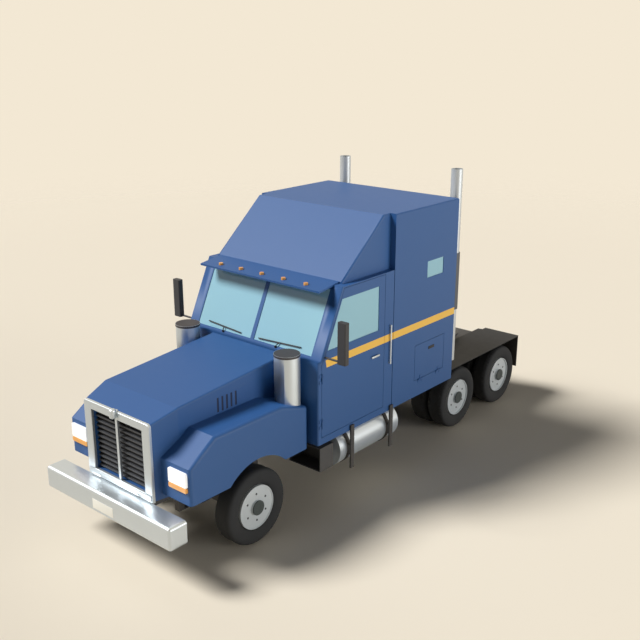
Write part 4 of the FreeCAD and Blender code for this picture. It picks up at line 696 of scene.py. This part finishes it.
# %% Plate and latches
front = low("bumper")[1]
plate = slab((-0.23, front - 0.002, 0.66), (0.17, front + 0.004, 0.79), 0.002)
piece("front_plate", [plate], PLATE, "chassis")
locker_middle = (low("luggage_door_left")[1] + high("luggage_door_left")[1]) / 2
latch = slab((side - SUNK, locker_middle - 0.035, 1.690), (side + 0.008, locker_middle + 0.115, 1.735),
             0.0215, 6)
piece("latch_left", [latch], SEAL, "left_luggage_door")
piece("latch_right", [mirrored(latch)], SEAL, "right_luggage_door")

# %% [markdown]
# ## Air cleaner lids
# A dark moulded lid closes each air cleaner. It is turned like a hub cap and sits over the drum's rim.

# %% Lids
drums_low, drums_high = low("air_cleaners"), high("air_cleaners")
lid_radius = (drums_high[1] - drums_low[1]) / 2 + 0.001
LID_DEEP = 0.031
lid_at = (drums_high[0] - lid_radius + 0.001, (drums_low[1] + drums_high[1]) / 2,
          drums_high[2] - LID_DEEP + 0.001)
lid = turned([(0.0, 0.001), (0.0, lid_radius), (LID_DEEP - 0.004, lid_radius),
              (LID_DEEP, lid_radius - 0.005), (LID_DEEP, 0.001)], lid_at, "z", 48)
piece("air_cleaner_lids", both(lid), LID, "hood")

# %% [markdown]
# ## Surround trim
# A bright cover strip lies on the lower bar of the grille surround, over the notches that the bumper's
# two hinge stands pass through. Below the pivot it leaves these notches open, so the hood can tilt. A
# knob with a domed top stands at the middle of the upper bar.

# %% Cover strip and knob
frame_low, frame_high = low("grille_surround"), high("grille_surround")
opening_low, opening_high = low("grille_slats")[2], high("grille_slats")[2]
carrier = np.array([v.co for v in frame["nodes"]["bumper"].data.vertices])
carrier = carrier[carrier[:, 2] > frame_low[2]]
stand_face = carrier[np.isclose(carrier[:, 1], carrier[:, 1].min(), atol=1e-4)]
STAND_GAP, STRIP_END = 0.002, 0.020
gap_start = np.abs(stand_face[:, 0]).min() - STAND_GAP
gap_end = np.abs(stand_face[:, 0]).max() + STAND_GAP
split, strip_low, strip_high = carrier[:, 2].max() - 0.004, frame_low[2] + 0.014, opening_low - STRIP_END


def strip_part(start, end, bottom, top):
    """A flat part of the cover strip from x = start to x = end."""
    return slab((start, frame_low[1] - 0.0006, bottom), (end, frame_low[1] + 0.001, top), 0.0003, 2)


strip_end = frame_high[0] - STRIP_END
strips = [strip_part(-strip_end, strip_end, split, strip_high),
          strip_part(-gap_start, gap_start, strip_low, split),
          *both(strip_part(gap_end, strip_end, strip_low, split))]
piece("surround_strip", strips, CHROME, "hood")

KNOB, KNOB_AHEAD, KNOB_RISE, KNOB_FOOT = 0.042, 0.020, 0.034, 0.054
knob_tall = frame_high[2] + KNOB_RISE - opening_high - KNOB_FOOT
dome = [(knob_tall - KNOB * 0.7 * (1 - math.sin(turn)), KNOB * math.cos(turn))
        for turn in np.linspace(0, math.radians(88), 10)]
knob = turned([(0.0, 0.001), (0.0, KNOB * 0.8), (0.010, KNOB), *dome, (knob_tall, 0.001)],
              (0.0, frame_low[1] - KNOB_AHEAD, opening_high + KNOB_FOOT), "z", 48)
piece("surround_knob", [knob], CHROME, "hood")
print("hinge stands between x =", round(float(gap_start), 3), "and", round(float(gap_end), 3))

# %% [markdown]
# ## Each slot in the hood's side is backed by a thin dark plate on the slot's floor, which is painted shade for the dark inside the slot.
# Each slot in the hood's side is backed by dark gauze, which is a thin plate on the slot's floor.

# %% Louvre painted shade
hood_points = np.array([v.co for v in frame["nodes"]["hood_shell"].data.vertices])
SLOT_DEPTH, SHADE_PLATE_DEPTH = 0.015, 0.004
hood_side = high("hood_shell")[0]
slot_floor = hood_points[np.isclose(hood_points[:, 0], hood_side - SLOT_DEPTH, atol=1e-4)]
edges = np.unique(slot_floor[:, 1].round(4))
LAP = 0.001
slot_low, slot_high = slot_floor[:, 2].min() - LAP, slot_floor[:, 2].max() + LAP
# Thin dark plates in the slots, painted shade for their dark insides.
louvre_shade_plates = []
for start, end in edges.reshape(-1, 2):
    louvre_shade_plates += both(slab((hood_side - SLOT_DEPTH - 0.002, start - LAP, slot_low),
                       (hood_side - SHADE_PLATE_DEPTH, end + LAP, slot_high), 0.001, 1))
piece("louvre_gauze", louvre_shade_plates, LOUVRE_SHADE, body_with["hood_shell"])
print("louvres", len(edges) // 2)

# %% [markdown]
# ## Mirror glass
# The glass of each mirror is a thin plate on the rear of its housing, a finger's width smaller all round.

# %% Mirror glass
HOUSING_WIDE, RIM_SIDE, RIM_END = 0.140, 0.014, 0.016
for hand in SIDES:
    a, b = low(f"mirror_{hand}"), high(f"mirror_{hand}")
    inner, outer = (b[0] - HOUSING_WIDE, b[0]) if hand == "left" else (a[0], a[0] + HOUSING_WIDE)
    pane = slab((inner + RIM_SIDE, b[1] - 0.003, a[2] + RIM_END),
                (outer - RIM_SIDE, b[1] + 0.003, b[2] - RIM_END), 0.002)
    piece(f"mirror_glass_{hand}", [pane], SILVER_GLASS, f"{hand}_door")

# %% [markdown]
# ## Tank caps
# A flat filler cap lies on the top of each polished tank, in the narrow room below the cab's floor.

# %% Tank caps
tank_low, tank_high = low("fuel_tanks"), high("fuel_tanks")
tank_radius = (tank_high[2] - tank_low[2]) / 2
cap_at = (tank_high[0] - tank_radius, tank_low[1] + 0.55, tank_high[2] - 0.006)
cap = turned([(0.0, 0.001), (0.0, 0.052), (0.009, 0.052), (0.010, 0.058), (0.019, 0.058), (0.022, 0.055),
              (0.022, 0.001)], cap_at, "z", 40)
piece("tank_caps", both(cap), CHROME, "chassis")

# %% [markdown]
# ## Engine
# The block gets what shows once the hood is tilted: two ribbed valve covers along its top, an exhaust
# manifold of six bent runners on one side, an inlet pipe on the other, and bolted covers on both sides.

# %% Engine dressing
block_low, block_high = low("engine_block"), high("engine_block")
block_points = np.array([v.co for v in frame["nodes"]["engine_block"].data.vertices])
half = block_points[np.isclose(block_points[:, 2], block_high[2], atol=1e-4)][:, 0].max()
spots = np.linspace(block_low[1] + 0.16, block_high[1] - 0.16, 6)
PORT_Z, LOG_Z, DOWN_Z, OUT, OVER = 1.64, 1.52, 1.05, 0.055, 0.002
INLET_Z, INLET_OUT = 1.60, 0.045
middle, top = spots[2:4].mean(), block_high[2]
covers, bolts, manifold = [], [], []
for start, end in ((block_low[1] + 0.05, middle - 0.015), (middle + 0.015, block_high[1] - 0.05)):
    covers.append(slab((-0.20, start, top - OVER), (0.20, end, top + 0.050), 0.020))
    covers += [slab((-0.15, y - 0.012, top + 0.040), (0.15, y + 0.012, top + 0.058), 0.006)
               for y in np.linspace(start + 0.09, end - 0.09, 4)]
BOLT = [(-0.004, 0.001), (-0.004, 0.011), (0.010, 0.011), (0.013, 0.008), (0.013, 0.001)]
for y in spots:
    bolts += both(turned(BOLT, (0.235, y, top), "z", 6))
    covers += both(slab((half - OVER, y - 0.085, 1.10), (half + 0.016, y + 0.085, 1.36), 0.008))
    for z in (1.125, 1.335):
        bolts += both(turned(BOLT, (half + 0.012, y, z), "x", 6))
    runner = bent([(half - 0.004, y, PORT_Z), (half + OUT, y, PORT_Z), (half + OUT, y, LOG_Z)], 0.03)
    manifold.append(pipe(runner, 0.024, 16))
log_ends = spots[0] - 0.05, spots[-1] + 0.05
manifold.append(pipe([(half + OUT, y, LOG_Z) for y in log_ends], 0.042, 24))
manifold.append(pipe([(half + OUT, spots[3:5].mean(), z) for z in (LOG_Z, DOWN_Z)], 0.038, 20))
inlet_path = [(-half - INLET_OUT, log_ends[0], INLET_Z), (-half - INLET_OUT, log_ends[1], INLET_Z),
              (-half + 0.05, log_ends[1] + 0.07, INLET_Z)]
inlet = pipe(bent(inlet_path, 0.05), 0.048, 24)
inlet_feet = [pipe([(-half + 0.004, y, INLET_Z), (-half - INLET_OUT, y, INLET_Z)], 0.030, 16)
              for y in spots]
piece("engine_covers", covers, finishes["shield_metal"], "chassis")
piece("engine_bolts", bolts, finishes["coupling_steel"], "chassis")
piece("engine_manifold", manifold, finishes["exhaust_metal"], "chassis")
piece("engine_inlet", [inlet, *inlet_feet], finishes["coupling_steel"], "chassis")

# %% [markdown]
# ## Studio
# A pale floor runs under the truck, and the world behind it has the same colour, so there is no horizon.
# The floor is painted darker ahead of the truck, a painted shade for light falling off towards the
# camera.
# The camera, and rays that come off bright metal or through glass, see the pale world; everything else is
# lit by a much dimmer one.

# %% Floor and world
# The second floor colour is painted shade: the floor ahead of the truck is darkened where the light falls
# off.
FLOOR, FLOOR_PAINTED_SHADE, FLOOR_HALF = srgb(243, 232, 212), srgb(216, 206, 189), 80
SHADE_START, SHADE_END, FADE_START, FADE_END = -11.0, -1.0, 12.0, 30.0
FILL_COLOUR, FILL_STRENGTH = (0.93, 0.95, 1.0, 1.0), 0.08
floor_mesh = bpy.data.meshes.new("floor")
corners = [(x * FLOOR_HALF, y * FLOOR_HALF, 0) for x, y in ((-1, -1), (1, -1), (1, 1), (-1, 1))]
floor_mesh.from_pydata(corners, [], [(0, 1, 2, 3)])
floor = bpy.data.objects.new("floor", floor_mesh)
bpy.context.scene.collection.objects.link(floor)


def eased(tree, value, start, end):
    """0 up to start, 1 from end on, and 3 t^2 - 2 t^3 in between."""
    ramp = tree.nodes.new("ShaderNodeMapRange")
    ramp.interpolation_type = "SMOOTHSTEP"
    ramp.inputs["From Min"].default_value, ramp.inputs["From Max"].default_value = start, end
    tree.links.new(value, ramp.inputs["Value"])
    return ramp.outputs["Result"]


def floor_finish():
    """Matt floor, painted darker ahead of the truck as painted shade for the light's fall-off, that fades
    into the world far from it.
    """
    material = bpy.data.materials.new("StudioFloor")
    material.use_nodes = True
    tree = material.node_tree
    shader = tree.nodes["Principled BSDF"]
    shader.inputs["Roughness"].default_value = 0.9
    shader.inputs["Specular IOR Level"].default_value = 0.1
    _, x, y, _ = object_axes(tree)
    # Painted shade: a darker floor ahead of the truck.
    shade = mix_colour(tree, eased(tree, y, SHADE_START, SHADE_END), FLOOR_PAINTED_SHADE, FLOOR)
    tree.links.new(shade, shader.inputs["Base Color"])
    squares = math_node(tree, "MULTIPLY_ADD", x, x, math_node(tree, "MULTIPLY", y, y))
    away = math_node(tree, "SQRT", squares)
    clear = tree.nodes.new("ShaderNodeBsdfTransparent")
    blend = tree.nodes.new("ShaderNodeMixShader")
    tree.links.new(eased(tree, away, FADE_START, FADE_END), blend.inputs[0])
    tree.links.new(shader.outputs[0], blend.inputs[1])
    tree.links.new(clear.outputs[0], blend.inputs[2])
    tree.links.new(blend.outputs[0], tree.nodes["Material Output"].inputs[0])
    return material


floor_mesh.materials.append(floor_finish())

world = bpy.data.worlds.new("Studio")
bpy.context.scene.world = world
world.use_nodes = True
tree = world.node_tree
seen = tree.nodes["Background"]
seen.inputs["Color"].default_value = FLOOR
seen.inputs["Strength"].default_value = 1.0
fill = tree.nodes.new("ShaderNodeBackground")
fill.inputs["Color"].default_value = FILL_COLOUR
fill.inputs["Strength"].default_value = FILL_STRENGTH
path = tree.nodes.new("ShaderNodeLightPath")
either = math_node(tree, "MAXIMUM", path.outputs["Is Glossy Ray"], path.outputs["Is Transmission Ray"])
either = math_node(tree, "MAXIMUM", path.outputs["Is Camera Ray"], either)
both_worlds = tree.nodes.new("ShaderNodeMixShader")
tree.links.new(either, both_worlds.inputs[0])
tree.links.new(fill.outputs[0], both_worlds.inputs[1])
tree.links.new(seen.outputs[0], both_worlds.inputs[2])
tree.links.new(both_worlds.outputs[0], tree.nodes["World Output"].inputs[0])

# %% [markdown]
# ## Lamps
# The key lamp stands high ahead of the truck on its right. A weaker one on the horizon opens up the left
# side and hardly touches the floor, so the shadow under the truck stays deep.

# %% Lamps
def distant_lamp(name, towards, power, degrees):
    """A lamp so far away that its light comes from one direction, spread over an angle."""
    lamp = bpy.data.lights.new(name, "SUN")
    lamp.energy, lamp.angle = power, math.radians(degrees)
    made = bpy.data.objects.new(name, lamp)
    made.rotation_euler = (-Vector(towards)).to_track_quat("-Z", "Y").to_euler()
    bpy.context.scene.collection.objects.link(made)


distant_lamp("key", (-6.0, -6.0, 9.0), 3.6, 20)
distant_lamp("fill", (0.85, 0.25, 0.01), 2.0, 40)

# %% [markdown]
# ## Camera
# A normal lens from above the truck's front left corner, turned to the truck and tipped down to it.

# %% Camera
FOCAL, SENSOR, FAR = 50.58, 36.0, 400
CAMERA_AT, TURNED, TIPPED = (8.209, -9.5985, 6.244), 40.58, 18.06
lens = bpy.data.cameras.new("camera")
lens.lens, lens.sensor_width = FOCAL, SENSOR
lens.clip_end = FAR
camera = bpy.data.objects.new("camera", lens)
camera.location = CAMERA_AT
camera.rotation_euler = (math.radians(90 - TIPPED), 0, math.radians(TURNED))
bpy.context.scene.collection.objects.link(camera)
bpy.context.scene.camera = camera
bpy.context.scene.view_settings.view_transform = "Standard"
